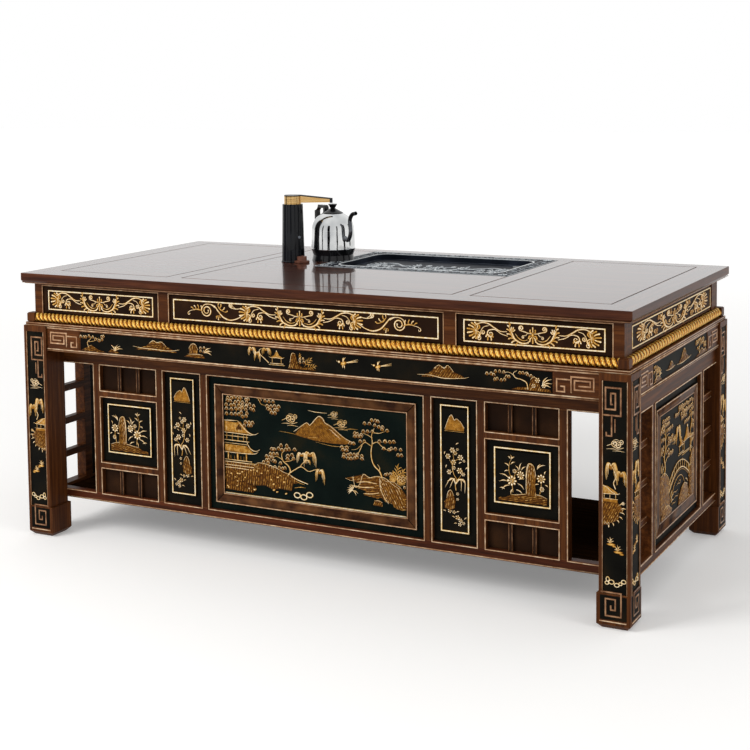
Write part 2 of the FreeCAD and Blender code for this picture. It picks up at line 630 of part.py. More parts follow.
column = column_form("column_shell")
add_turning(column, "Groove", "column_hollow", [
    (ZERO, "column_wall"), ("column_foot - column_wall", "column_wall"),
    ("column_neck - column_wall", "column_high - column_head"),
    ("pivot_radius + pivot_clear", "column_high - column_head"),
    ("pivot_radius + pivot_clear", "column_high"), (ZERO, "column_high")])
key_room = rod("key_room", "key_radius + key_clear", "2 * column_foot", ZERO, ZERO, "key_place", **ALONG_X)
column_cut = doc.addObject("Part::Cut", "spout_column")
column_cut.Base = column
column_cut.Tool = key_room
keep(place(column_cut, *SPOUT_BASE, turn="key_turn"))
keep(rod("pump_motor", "motor_radius", "motor_high", *SPOUT, "column_floor"))
tube_foot = "column_floor + motor_high"
tube_top = "collar_low - pivot_deep - tube_clear"
keep(rod("water_tube", "tube_radius", "%s - (%s)" % (tube_top, tube_foot), *SPOUT, tube_foot))

# Swivelling arm: collar with a pivot below it, and a beam that tapers in width and height, bored for water
COLLAR_LOW = "column_high + collar_clear"
PIVOT_LOW = COLLAR_LOW + " - pivot_deep"
ARM_TOP = COLLAR_LOW + " + collar_high - cover_thick"
ARM_LOW = COLLAR_LOW + " + arm_lift"
TIP_TOP = ARM_LOW + " + tip_high"
BEAM_END = "arm_reach - tip_long"
BEAM_END_TOP = "{0} - (({0}) - ({1})) * ({2} - collar_radius) / (arm_reach - collar_radius)".format(
    ARM_TOP, TIP_TOP, BEAM_END)


def wedge(label, reach, top, side):
    """A bar that narrows in plan towards its far end, cut to an outline seen from its side."""
    plan = new_body(label + "_plan")
    add_pad(plan, label + "_plan_pad", [(ZERO, "-arm_wide / 2"), (reach, "-arm_tip_wide / 2"),
                                        (reach, "arm_tip_wide / 2"), (ZERO, "arm_wide / 2")], ARM_LOW, top)
    flank = new_body(label + "_flank")
    flank_pad = flank.newObject("PartDesign::Pad", label + "_flank_pad")
    flank_pad.Profile = outline(flank, label + "_side", "XZ_Plane", side)
    bind(flank_pad, Length="2 * arm_wide")
    flank_pad.Midplane = True
    flank.Tip = flank_pad
    common = doc.addObject("Part::MultiCommon", label)
    common.Shapes = [plan, flank]
    return common


collar = rod("collar", "collar_radius", "collar_high - cover_thick", ZERO, ZERO, COLLAR_LOW)
pivot = rod("pivot", "pivot_radius", "pivot_deep", ZERO, ZERO, PIVOT_LOW)
beam = wedge("beam", BEAM_END, ARM_TOP, [
    (ZERO, ARM_LOW), (BEAM_END, ARM_LOW), (BEAM_END, BEAM_END_TOP),
    ("collar_radius", ARM_TOP), (ZERO, ARM_TOP)])
bore_up = rod("bore_up", "arm_bore", "pivot_deep + arm_lift + tip_high / 2", ZERO, ZERO, PIVOT_LOW)
bore_out = rod("bore_out", "arm_bore", "arm_reach", ZERO, ZERO, ARM_LOW + " + tip_high / 2", **ALONG_X)
arm = carved("spout_arm", joined("arm_solid", collar, pivot, beam), bore_up, bore_out)
keep(place(arm, *SPOUT_BASE, turn="arm_turn"))

# Dark cover on the arm, which follows its fall and ends in the tip with the outlet
COVER_TOP = ARM_TOP + " + cover_thick"
cover_disc = rod("cover_disc", "collar_radius", "cover_thick", ZERO, ZERO, ARM_TOP)
cover_strip = wedge("cover_strip", "arm_reach", COVER_TOP, [
    (ZERO, ARM_TOP), ("collar_radius", ARM_TOP), (BEAM_END, BEAM_END_TOP), (BEAM_END, ARM_LOW),
    ("arm_reach", ARM_LOW), ("arm_reach", TIP_TOP + " + cover_thick"), ("collar_radius", COVER_TOP),
    (ZERO, COVER_TOP)])
outlet_x = "arm_reach - tip_long / 2"
outlet_low = ARM_LOW + " - tip_drop"
outlet = rod("outlet", "tip_long / 2", "tip_drop", outlet_x, ZERO, outlet_low)
outlet_bore = rod("outlet_bore", "tip_bore", "tip_drop + tip_high / 2", outlet_x, ZERO, outlet_low)
cover = carved("spout_cover", joined("cover_solid", cover_disc, cover_strip, outlet), outlet_bore)
keep(place(cover, *SPOUT_BASE, turn="arm_turn"))

# Push key in the wall of the column, and the hose stub at its foot
key_stock = rod("key_stock", "key_radius", "key_long", "key_seat", ZERO, "key_place", **ALONG_X)
key = together("spout_key", key_stock)
keep(place(key, *SPOUT_BASE, turn="key_turn"))
stub_stock = rod("stub_stock", "stub_radius", "column_foot + stub_long / 2",
                 ZERO, ZERO, "stub_radius", **ALONG_X)
stub = doc.addObject("Part::Cut", "hose_stub")
stub.Base = stub_stock
stub.Tool = column_form("stub_seat")
keep(place(stub, *SPOUT_BASE, turn="stub_turn"))

# Kettle: stand that stays on the table, with a low boss in its middle
KETTLE = ("-kettle_place_x", "kettle_place_y")
stand = keep(new_body("kettle_stand"))
add_turning(stand, "Revolution", "stand_turn", [
    (ZERO, ZERO), ("stand_radius", ZERO), ("stand_neck", "stand_high"), ("boss_radius", "stand_high"),
    ("boss_radius", "stand_high + boss_high"), (ZERO, "stand_high + boss_high")])
place(stand, *KETTLE, "height")

# Kettle ring: the dark base of the kettle, hollow beneath so that it clears the boss
KETTLE_BASE = (*KETTLE, "stand_top")
ring = keep(new_body("kettle_ring"))
ROOM = "boss_radius + boss_room"
add_turning(ring, "Revolution", "ring_turn", [
    (ROOM, ZERO), ("foot_neck", ZERO), ("dome_radius", "ring_high"), (ZERO, "ring_high"),
    (ZERO, "ring_high - ring_floor"), (ROOM, "ring_high - ring_floor")])
place(ring, *KETTLE_BASE)

# Kettle body: steel dome with nearly upright sides, a round shoulder and an open mouth
SHOULDER_Z = "ring_high + shoulder_high"
DOME_Z = "ring_high + dome_high"


def shoulder(outer, top, rise):
    """Radius of an arc that leaves the upright at one radius and reaches another after a rise."""
    return "(({0}) ^ 2 + (({1}) - ({2})) ^ 2) / (2 * (({1}) - ({2})))".format(rise, outer, top)


def dome_form(label, wall):
    """The solid within the dome, less a wall."""
    form = new_body(label)
    outer, top = "dome_shoulder - " + wall, "dome_top - " + wall
    rise = "dome_high - shoulder_high - " + wall
    add_turning(form, "Revolution", label + "_turn", [
        (ZERO, "ring_high + " + wall), ("dome_radius - " + wall, "ring_high + " + wall),
        (outer, SHOULDER_Z, shoulder(outer, top, rise)), (top, DOME_Z + " - " + wall),
        (ZERO, DOME_Z + " - " + wall)])
    return form


dome = dome_form("dome_outside", ZERO)
mouth = rod("mouth", "mouth_radius", "dome_high", ZERO, ZERO, SHOULDER_Z)
keep(place(carved("kettle_body", dome, dome_form("dome_inside", "dome_wall"), mouth), *KETTLE_BASE))

# Kettle lid: a disc on the dome's neck, a cone and a flared knob with a filling hole
lid = keep(new_body("kettle_lid"))
LID_TOP = DOME_Z + " + lid_thick"
add_turning(lid, "Revolution", "lid_turn", [
    ("fill_radius", DOME_Z + " - lid_spigot_deep"), ("lid_spigot", DOME_Z + " - lid_spigot_deep"),
    ("lid_spigot", DOME_Z), ("lid_rest", DOME_Z), ("lid_rest", LID_TOP),
    ("lid_neck", LID_TOP + " + lid_cone_high"), ("knob_radius", LID_TOP + " + lid_cone_high + knob_high"),
    ("fill_radius", LID_TOP + " + lid_cone_high + knob_high")])
place(lid, *KETTLE_BASE)

# Kettle handle: a flat black loop from the shoulder to the side of the dome
handle_blank = new_body("handle_blank")
HANDLE_IN = "handle_out - handle_thick"
HANDLE_ROOT = "lid_rest + handle_root_gap"
handle = handle_blank.newObject("PartDesign::Pad", "handle_pad")
handle.Profile = outline(handle_blank, "handle_outline", "XZ_Plane", [
    (HANDLE_ROOT, "ring_high + dome_high - 1.5 * handle_thick"),
    (HANDLE_ROOT, "ring_high + handle_top - handle_thick", "-1.2 * handle_thick"),
    (HANDLE_ROOT + " + handle_thick", "ring_high + handle_top"),
    ("handle_out - 2 * handle_thick", "ring_high + handle_top", "2.1 * handle_thick"),
    ("handle_out", "ring_high + handle_top - 2 * handle_thick"),
    ("handle_out", "ring_high + handle_low + 2 * handle_thick", "2.1 * handle_thick"),
    ("handle_out - 2 * handle_thick", "ring_high + handle_low"),
    ("dome_shoulder - handle_thick", "ring_high + handle_low"),
    ("dome_shoulder - handle_thick", "ring_high + handle_low + handle_thick"),
    ("handle_out - 2 * handle_thick", "ring_high + handle_low + handle_thick"),
    (HANDLE_IN, "ring_high + handle_low + 2 * handle_thick"),
    (HANDLE_IN, "ring_high + handle_top - 2 * handle_thick"),
    ("handle_out - 2 * handle_thick", "ring_high + handle_top - handle_thick"),
    (HANDLE_ROOT + " + handle_thick", "ring_high + handle_top - handle_thick"),
    (HANDLE_ROOT + " + handle_thick", "ring_high + dome_high - 1.5 * handle_thick")])
bind(handle, Length="handle_wide")
handle.Midplane = True
handle_blank.Tip = handle
loop = doc.addObject("Part::Cut", "kettle_handle")
loop.Base = handle_blank
loop.Tool = dome_form("handle_seat", ZERO)
keep(place(loop, *KETTLE_BASE, turn="kettle_turn + 180"))


def rounded_path(points):
    """A wire of straight runs joined by tangent arcs, each arc as large as its two runs allow."""
    runs_share = 0.45
    edges, last = [], points[0]
    for before, corner, after in zip(points, points[1:], points[2:]):
        back, ahead = before - corner, after - corner
        cut = runs_share * min(back.Length, ahead.Length)
        enter, leave = corner + back.normalize() * cut, corner + ahead.normalize() * cut
        middle = (enter + leave) * 0.5
        turn = math.atan2((corner - middle).Length, (enter - middle).Length)
        centre_gap = (enter - middle).Length / math.tan(turn)
        radius = (enter - middle).Length / math.sin(turn)
        inward = (middle - corner).normalize()
        arc_middle = middle + inward * (centre_gap - radius)
        edges += [Part.LineSegment(last, enter).toShape(), Part.Arc(enter, arc_middle, leave).toShape()]
        last = leave
    edges.append(Part.LineSegment(last, points[-1]).toShape())
    return Part.Wire(edges)


# Kettle pipe: a gooseneck that leaves the dome low down and pours beside its top
gooseneck = [vector(size(x), 0, size("ring_high + " + z)) for x, z in (
    ("dome_shoulder - pipe_radius", "pipe_root + pipe_dip"), ("dome_radius + 2 * pipe_radius", "pipe_root"),
    ("pipe_reach + pipe_radius * 6", "pipe_root + dome_high / 4"),
    ("pipe_reach + pipe_radius * 5", "dome_high - pipe_dip"),
    ("pipe_tip", "dome_high + pipe_dip / 4"), ("pipe_tip + 2 * pipe_lip", "dome_high + pipe_dip / 2"))]
path = rounded_path(gooseneck)
towards = gooseneck[1] - gooseneck[0]


def tube_along(path, start, towards, radius):
    ring = Part.Wire([Part.Circle(start, towards, radius).toShape()])
    return path.makePipeShell([ring], True, False)


pipe_blank = doc.addObject("Part::Feature", "pipe_blank")
pipe_blank.Shape = tube_along(path, gooseneck[0], towards, size("pipe_radius")).cut(
    tube_along(path, gooseneck[0], towards, size("pipe_bore")))
pipe = doc.addObject("Part::Cut", "kettle_pipe")
pipe.Base = pipe_blank
pipe.Tool = dome_form("pipe_seat", ZERO)
keep(place(pipe, *KETTLE_BASE, turn="kettle_turn"))

doc.recompute()
for thing in doc.Objects:
    if "Invalid" in thing.State or "Error" in thing.State:
        raise RuntimeError("%s did not compute: %s" % (thing.Label, thing.State))
for piece in pieces:
    if piece.Shape.isNull() or not piece.Shape.isValid() or not piece.Shape.Solids:
        raise RuntimeError("%s is not a valid solid" % piece.Label)

os.makedirs("parts", exist_ok=True)
for piece in pieces:
    piece.Shape.exportStep(os.path.join("parts", piece.Label + ".step"))
    box = piece.Shape.BoundBox
    print("%-24s %2d solid(s), %8.1f cm3, x %7.1f to %7.1f, y %7.1f to %7.1f, z %6.1f to %6.1f" % (
        piece.Label, len(piece.Shape.Solids), piece.Shape.Volume / 1000,
        box.XMin, box.XMax, box.YMin, box.YMax, box.ZMin, box.ZMax))
print(len(pieces), "pieces")
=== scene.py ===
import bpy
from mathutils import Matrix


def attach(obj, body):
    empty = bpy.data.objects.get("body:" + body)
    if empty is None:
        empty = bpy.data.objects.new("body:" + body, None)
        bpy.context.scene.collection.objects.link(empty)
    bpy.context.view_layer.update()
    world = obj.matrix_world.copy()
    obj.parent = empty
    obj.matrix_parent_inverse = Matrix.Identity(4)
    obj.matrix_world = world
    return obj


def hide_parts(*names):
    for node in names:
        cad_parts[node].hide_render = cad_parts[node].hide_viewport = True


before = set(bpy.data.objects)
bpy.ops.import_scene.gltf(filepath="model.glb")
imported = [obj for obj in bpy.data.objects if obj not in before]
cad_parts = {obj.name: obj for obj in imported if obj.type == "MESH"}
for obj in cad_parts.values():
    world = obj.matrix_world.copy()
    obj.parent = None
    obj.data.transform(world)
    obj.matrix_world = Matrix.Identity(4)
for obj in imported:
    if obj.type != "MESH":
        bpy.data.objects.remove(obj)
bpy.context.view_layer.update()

import copy
import math
import random

import bpy
from mathutils import Matrix, Vector

MM = 0.001

# Camera: a long lens at a standing person's height, in front of the right-hand end.
# It looks a little down along the front, with the picture shifted as in the photograph.
LENS_MM, SENSOR_MM, PICTURE_SHIFT = 71.34, 36, -0.2333
CAMERA_YAW, CAMERA_PITCH, CAMERA_ROLL = 27.3, 4.59, -0.63
CAMERA_PLACE = Vector((1927.8, -3722.7, 1294.3)) * MM


def add_object(name, data):
    """Make an object from its data and put it in the scene."""
    made = bpy.data.objects.new(name, data)
    bpy.context.scene.collection.objects.link(made)
    return made


yaw, pitch, roll = (math.radians(angle) for angle in (CAMERA_YAW, CAMERA_PITCH, CAMERA_ROLL))
ahead = Vector((-math.sin(yaw) * math.cos(pitch), math.cos(yaw) * math.cos(pitch), -math.sin(pitch)))
level = Vector((math.cos(yaw), math.sin(yaw), 0))
above = level.cross(ahead)
right = math.cos(roll) * level + math.sin(roll) * above
up = math.cos(roll) * above - math.sin(roll) * level
camera = add_object("camera", bpy.data.cameras.new("camera"))
camera.data.lens = LENS_MM
camera.data.sensor_width = SENSOR_MM
camera.data.shift_y = PICTURE_SHIFT
camera.matrix_world = Matrix((right, up, -ahead)).transposed().to_4x4()
camera.location = CAMERA_PLACE
bpy.context.scene.camera = camera
bpy.context.scene.view_settings.view_transform = "Standard"


# Studio: a pale floor and a white surround, lit softly from the front and from the right.
# The surround is white to the eye and in reflections, and dimmer as a light.
WHITE, SURROUND_LIGHT = "#ffffff", 0.62
FLOOR_REACH = 30
FLOOR_GLOW, FLOOR_GLOW_FROM = (0.2, 0.5), (1.2, 7.0)


def linear(code):
    """Turn an sRGB hex value into linear red, green, blue and alpha."""
    parts = [int(code[i:i + 2], 16) / 255 for i in (1, 3, 5)]
    return [c / 12.92 if c <= 0.04045 else ((c + 0.055) / 1.055) ** 2.4 for c in parts] + [1]


def set_inputs(tree, node, inputs):
    """Link sockets to a node's inputs, and set its other inputs to plain values."""
    for name, value in inputs.items():
        if isinstance(value, bpy.types.NodeSocket):
            tree.links.new(value, node.inputs[name])
        else:
            node.inputs[name].default_value = value


def add_node(tree, kind, inputs=None, stops=None, **settings):
    """Add a shader node with its settings, its ramp stops and its inputs."""
    made = tree.nodes.new("ShaderNode" + kind)
    for name, value in settings.items():
        setattr(made, name, value)
    if stops:
        ramp = made.color_ramp
        for element, (place, code) in zip((ramp.elements[0], ramp.elements[1]), (stops[0], stops[-1])):
            element.position, element.color = place, linear(code)
        for place, code in stops[1:-1]:
            ramp.elements.new(place).color = linear(code)
    set_inputs(tree, made, inputs or {})
    return made


def start_material(name):
    """A new material: itself, its tree, its Principled shader, and the place on the piece as a socket."""
    material = bpy.data.materials.new(name)
    material.use_nodes = True
    tree = material.node_tree
    tree.nodes.clear()
    shader = add_node(tree, "BsdfPrincipled")
    add_node(tree, "OutputMaterial", {"Surface": shader.outputs[0]})
    return material, tree, shader, add_node(tree, "TexCoord").outputs["Object"]


def seen_directly(tree):
    """One for the eye, in reflections and through clear things, and nought for light on the surroundings."""
    rays = add_node(tree, "LightPath")
    seen = add_node(tree, "Math", {0: rays.outputs["Is Camera Ray"], 1: rays.outputs["Is Glossy Ray"]},
                    operation="MAXIMUM")
    return add_node(tree, "Math", {0: seen.outputs[0], 1: rays.outputs["Is Transmission Ray"]},
                    operation="MAXIMUM").outputs[0]


def add_mesh(name, corners, faces, material):
    """Make a mesh object from its corners in metres, its faces and its material."""
    mesh = bpy.data.meshes.new(name)
    mesh.from_pydata(corners, [], faces)
    mesh.materials.append(material)
    return add_object(name, mesh)


def matt_white_floor():
    """Studio paper: matt, nearly white, and lit a little from within so that only the shadow is grey."""
    material, tree, shader, place = start_material("matt_white_floor")
    away = add_node(tree, "VectorMath", {0: place}, operation="LENGTH")
    glow = add_node(tree, "MapRange", {
        "Value": away.outputs["Value"], "From Min": FLOOR_GLOW_FROM[0], "From Max": FLOOR_GLOW_FROM[1],
        "To Min": FLOOR_GLOW[0], "To Max": FLOOR_GLOW[1]})
    lift = add_node(tree, "Math", {0: seen_directly(tree), 1: glow.outputs[0]}, operation="MULTIPLY")
    set_inputs(tree, shader, {"Base Color": linear("#f2f1ef"), "Roughness": 0.9, "Specular IOR Level": 0.1,
                              "Emission Color": linear(WHITE), "Emission Strength": lift.outputs[0]})
    return material


def softbox(name, place, aim, wide, high, watts):
    """A rectangular lamp that faces a point, and that reflections don't show."""
    lamp = add_object(name, bpy.data.lights.new(name, "AREA"))
    lamp.data.shape, lamp.data.size, lamp.data.size_y, lamp.data.energy = "RECTANGLE", wide, high, watts
    lamp.location = place
    lamp.rotation_euler = (Vector(aim) - Vector(place)).to_track_quat("-Z", "Y").to_euler()
    lamp.visible_glossy = False


world = bpy.data.worlds.new("studio")
bpy.context.scene.world = world
world.use_nodes = True
world.node_tree.nodes.clear()
strength = add_node(world.node_tree, "MapRange", {"Value": seen_directly(world.node_tree),
                                                  "To Min": SURROUND_LIGHT, "To Max": 1.0})
light = add_node(world.node_tree, "Background", {"Color": linear(WHITE), "Strength": strength.outputs[0]})
add_node(world.node_tree, "OutputWorld", {"Surface": light.outputs[0]})
floor = add_mesh("floor", [(x * FLOOR_REACH, y * FLOOR_REACH, 0)
                           for x, y in ((-1, -1), (1, -1), (1, 1), (-1, 1))],
                 [(0, 1, 2, 3)], matt_white_floor())
softbox("key_light", (-2.2, -3.6, 3.0), (0, 0, 0.5), 2.0, 2.0, 120)
softbox("side_light", (4.2, -1.2, 2.6), (0.6, 0, 0.4), 1.6, 2.2, 26)


# Table top: boards and panels of rosewood under a clear gloss varnish.
# The varnish is flat enough to mirror what stands on it, and shows the surround when seen low.
STREAK_MM, STREAK_LONG, PORE_MM, PORE_LONG = 12, 22, 1.5, 30
WAVE_MM, WANDER, RIPPLE_MM, RUB_MM = 333, 0.007, 111, 41.7
TOP_TONES = [(0.3, "#220f08"), (0.5, "#412012"), (0.72, "#613620")]


def pattern(size_mm):
    """The scale of a pattern whose features are this many millimetres wide."""
    return 1 / (size_mm * MM)


def wood_tones(tree, place, grain, stops):
    """Colour of straight-grained wood: long streaks along one axis, with fine pores."""
    wavy = add_node(tree, "TexNoise", {"Vector": place, "Scale": pattern(WAVE_MM), "Detail": 2.0})
    bent = add_node(tree, "MixRGB", {"Fac": WANDER, "Color1": place, "Color2": wavy.outputs["Color"]},
                    blend_type="ADD")
    noises = []
    for size, long, values in ((STREAK_MM, STREAK_LONG, {"Detail": 6.0, "Roughness": 0.62}),
                               (PORE_MM, PORE_LONG, {"Detail": 2.0})):
        scale = [pattern(size)] * 3
        scale["xyz".index(grain)] /= long
        drawn_out = add_node(tree, "Mapping", {"Vector": bent.outputs[0], "Scale": scale})
        noise = add_node(tree, "TexNoise", {"Vector": drawn_out.outputs[0], "Scale": 1.0, **values})
        noises.append(noise.outputs["Fac"])
    both = add_node(tree, "MixRGB", {"Fac": 0.25, "Color1": noises[0], "Color2": noises[1]})
    ramp = add_node(tree, "ValToRGB", {"Fac": both.outputs[0]}, stops=stops)
    return ramp.outputs["Color"], noises[1]


def rubbed_edges(tree, place, colour, worn, reach, amount):
    """Lighten a colour where the piece has an edge that hands and cloths have rubbed."""
    soft = add_node(tree, "Bevel", {"Radius": reach}, samples=6)
    hard = add_node(tree, "NewGeometry")
    same = add_node(tree, "VectorMath", {0: soft.outputs[0], 1: hard.outputs["Normal"]},
                    operation="DOT_PRODUCT")
    edge = add_node(tree, "MapRange", {"Value": same.outputs["Value"], "From Min": 0.995, "From Max": 0.8,
                                       "To Min": 0.0, "To Max": amount})
    patch = add_node(tree, "TexNoise", {"Vector": place, "Scale": pattern(RUB_MM), "Detail": 3.0})
    uneven = add_node(tree, "MapRange", {"Value": patch.outputs["Fac"], "From Min": 0.35, "From Max": 0.65})
    wear = add_node(tree, "Math", {0: edge.outputs[0], 1: uneven.outputs[0]}, operation="MULTIPLY")
    mixed = add_node(tree, "MixRGB", {"Fac": wear.outputs[0], "Color1": colour, "Color2": linear(worn)})
    return mixed.outputs[0], soft.outputs[0]


def varnished_rosewood(grain):
    """Polished rosewood: dark red-brown with fine streaks, under a mirror-like gloss varnish."""
    material, tree, shader, place = start_material("gloss_varnished_rosewood_" + grain)
    tones, _ = wood_tones(tree, place, grain, TOP_TONES)
    colour, soft = rubbed_edges(tree, place, tones, "#8a5a41", 0.0025, 0.7)
    facing = add_node(tree, "SeparateXYZ", {0: add_node(tree, "NewGeometry").outputs["Normal"]})
    flat = add_node(tree, "MapRange", {"Value": facing.outputs["Z"], "From Min": 0.5, "From Max": 0.95,
                                       "To Min": 0.05, "To Max": 0.85})
    ripple = add_node(tree, "TexNoise", {"Vector": place, "Scale": pattern(RIPPLE_MM), "Detail": 1.0})
    flow = add_node(tree, "Bump", {"Height": ripple.outputs["Fac"], "Strength": 0.04, "Distance": 0.002})
    set_inputs(tree, shader, {
        "Base Color": colour, "Normal": soft, "Roughness": 0.3, "IOR": 1.5, "Specular IOR Level": 0.08,
        "Coat Weight": flat.outputs[0], "Coat IOR": 1.42, "Coat Roughness": 0.03,
        "Coat Normal": flow.outputs[0]})
    return material


def finish_nodes(material, *nodes):
    """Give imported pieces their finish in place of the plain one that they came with."""
    for node in nodes:
        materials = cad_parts[node].data.materials
        materials.clear()
        materials.append(material)


finish_nodes(varnished_rosewood("x"), "top_frame_front", "top_frame_rear", "top_panel_left",
             "top_panel_centre", "top_panel_right")
finish_nodes(varnished_rosewood("y"), "top_frame_left", "top_frame_right", "top_cross_bars")


# Carcase: legs, waist, aprons, rails and stiles of stained rosewood under a satin lacquer.
# The stain is warmer than the top's, and rubbed lighter along the edges.
BROWN = [(0.3, "#26120a"), (0.5, "#4a2710"), (0.72, "#70401c")]
REDDER = [(0.3, "#251009"), (0.5, "#482212"), (0.72, "#68341c")]
DARK_RED = [(0.3, "#180a05"), (0.5, "#31190c"), (0.72, "#4a2814")]
# A darker copy of the brown, as painted shade for pieces that stand in shadow: the bottom board and the
# lattice bars.
SHADED_BROWN = [(0.3, "#150a05"), (0.5, "#27160a"), (0.72, "#3a2412")]


def satin_rosewood(grain, stops, shine=0.06):
    """Satin rosewood: brown with darker streaks, soft highlights and lighter rubbed edges."""
    material, tree, shader, place = start_material("satin_rosewood_" + grain + stops[1][1][1:])
    tones, pore = wood_tones(tree, place, grain, stops)
    colour, soft = rubbed_edges(tree, place, tones, "#8c5c35", 0.003, 0.75)
    smooth = add_node(tree, "MapRange", {"Value": pore, "To Min": 0.34, "To Max": 0.46})
    grainy = add_node(tree, "Bump", {"Height": pore, "Strength": 0.15, "Distance": 0.0006, "Normal": soft})
    set_inputs(tree, shader, {
        "Base Color": colour, "Roughness": smooth.outputs[0], "Normal": grainy.outputs[0], "IOR": 1.5,
        "Specular IOR Level": shine, "Coat Weight": shine / 2, "Coat Roughness": 0.25})
    return material


satin = {grain: satin_rosewood(grain, BROWN) for grain in "xyz"}
dark_satin = {grain: satin_rosewood(grain, DARK_RED) for grain in "xyz"}
finish_nodes(satin["x"], "waist_frame_front", "waist_frame_rear", "waist_panel_left", "waist_panel_centre",
             "waist_panel_right", "apron_front", "apron_rear", "front_top_rail", "drawer_left",
             "drawer_right")
finish_nodes(satin["y"], "waist_end_left", "waist_end_right", "apron_left", "apron_right", "end_screen_left",
             "end_screen_right", "drawer_runners")
finish_nodes(satin["z"], "leg_front_left", "leg_front_right", "leg_rear_left", "leg_rear_right",
             "front_screen_frame")
finish_nodes(satin_rosewood("x", REDDER), "front_bottom_rail")
# The bottom board is darker as painted shade, where it lies in the table's shadow.
finish_nodes(satin_rosewood("x", SHADED_BROWN, shine=0.0), "bottom_board")


# Waist: windows closed by boards with a gilt frame and symmetric scrollwork on a dark ground.
# The scrolls are thin raised strokes that swell, curl and end in knobs, with fans of leaves between them.
ACROSS_AND_UP = {"front": ((1, 0, 0), (0, 0, 1)), "rear": ((-1, 0, 0), (0, 0, 1)),
                 "right": ((0, 1, 0), (0, 0, 1)), "left": ((0, -1, 0), (0, 0, 1)),
                 "top": ((1, 0, 0), (0, 1, 0))}
SUNK = -0.15
WAIST_FACE, WAIST_FRONT, WAIST_END = 423, 420, 870
WAIST_LOW, WAIST_HIGH, WAIST_LINE = 656, 709, 4.0
WAIST_MIDDLE, WAIST_HALF = (WAIST_LOW + WAIST_HIGH) / 2, (WAIST_HIGH - WAIST_LOW) / 2
SCROLL_BOLD, FRIEZE_BOLD, FRIEZE_STRETCH, LOBE_RISE = 1.35, 1.45, 1.88, 1.9
GILT_PATCH_MM, COPPER_PATCH_MM, CLOUD_MM, SPECK_MM = 9.09, 16.67, 91, 1.43


def add_piece(name, corners, faces, material, body, slot):
    """A smooth piece of the dressed model, on the body that it rides with."""
    made = add_mesh(name, corners, faces, material)
    made.data.shade_smooth()
    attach(made, body)
    return made


def rubbed_and_shaded(tone, high):
    """The tone at a share of a shape's height: dark at its foot as aged colour and painted shade, and bright
    on top as rubbing and a painted highlight.
    """
    return tone * (0.12 + 0.45 * high + 0.48 * high ** 4)


def joined(start, rings, count, looped):
    """The faces between rings of corners, one to the next, with the two ends closed unless they loop."""
    faces = []
    for step in range(rings if looped else rings - 1):
        a, b = start + step * count, start + (step + 1) % rings * count
        faces += [(a + k, a + (k + 1) % count, b + (k + 1) % count, b + k) for k in range(count)]
    if not looped:
        faces.append(tuple(range(start + count - 1, start - 1, -1)))
        faces.append(tuple(range(start + (rings - 1) * count, start + rings * count)))
    return faces


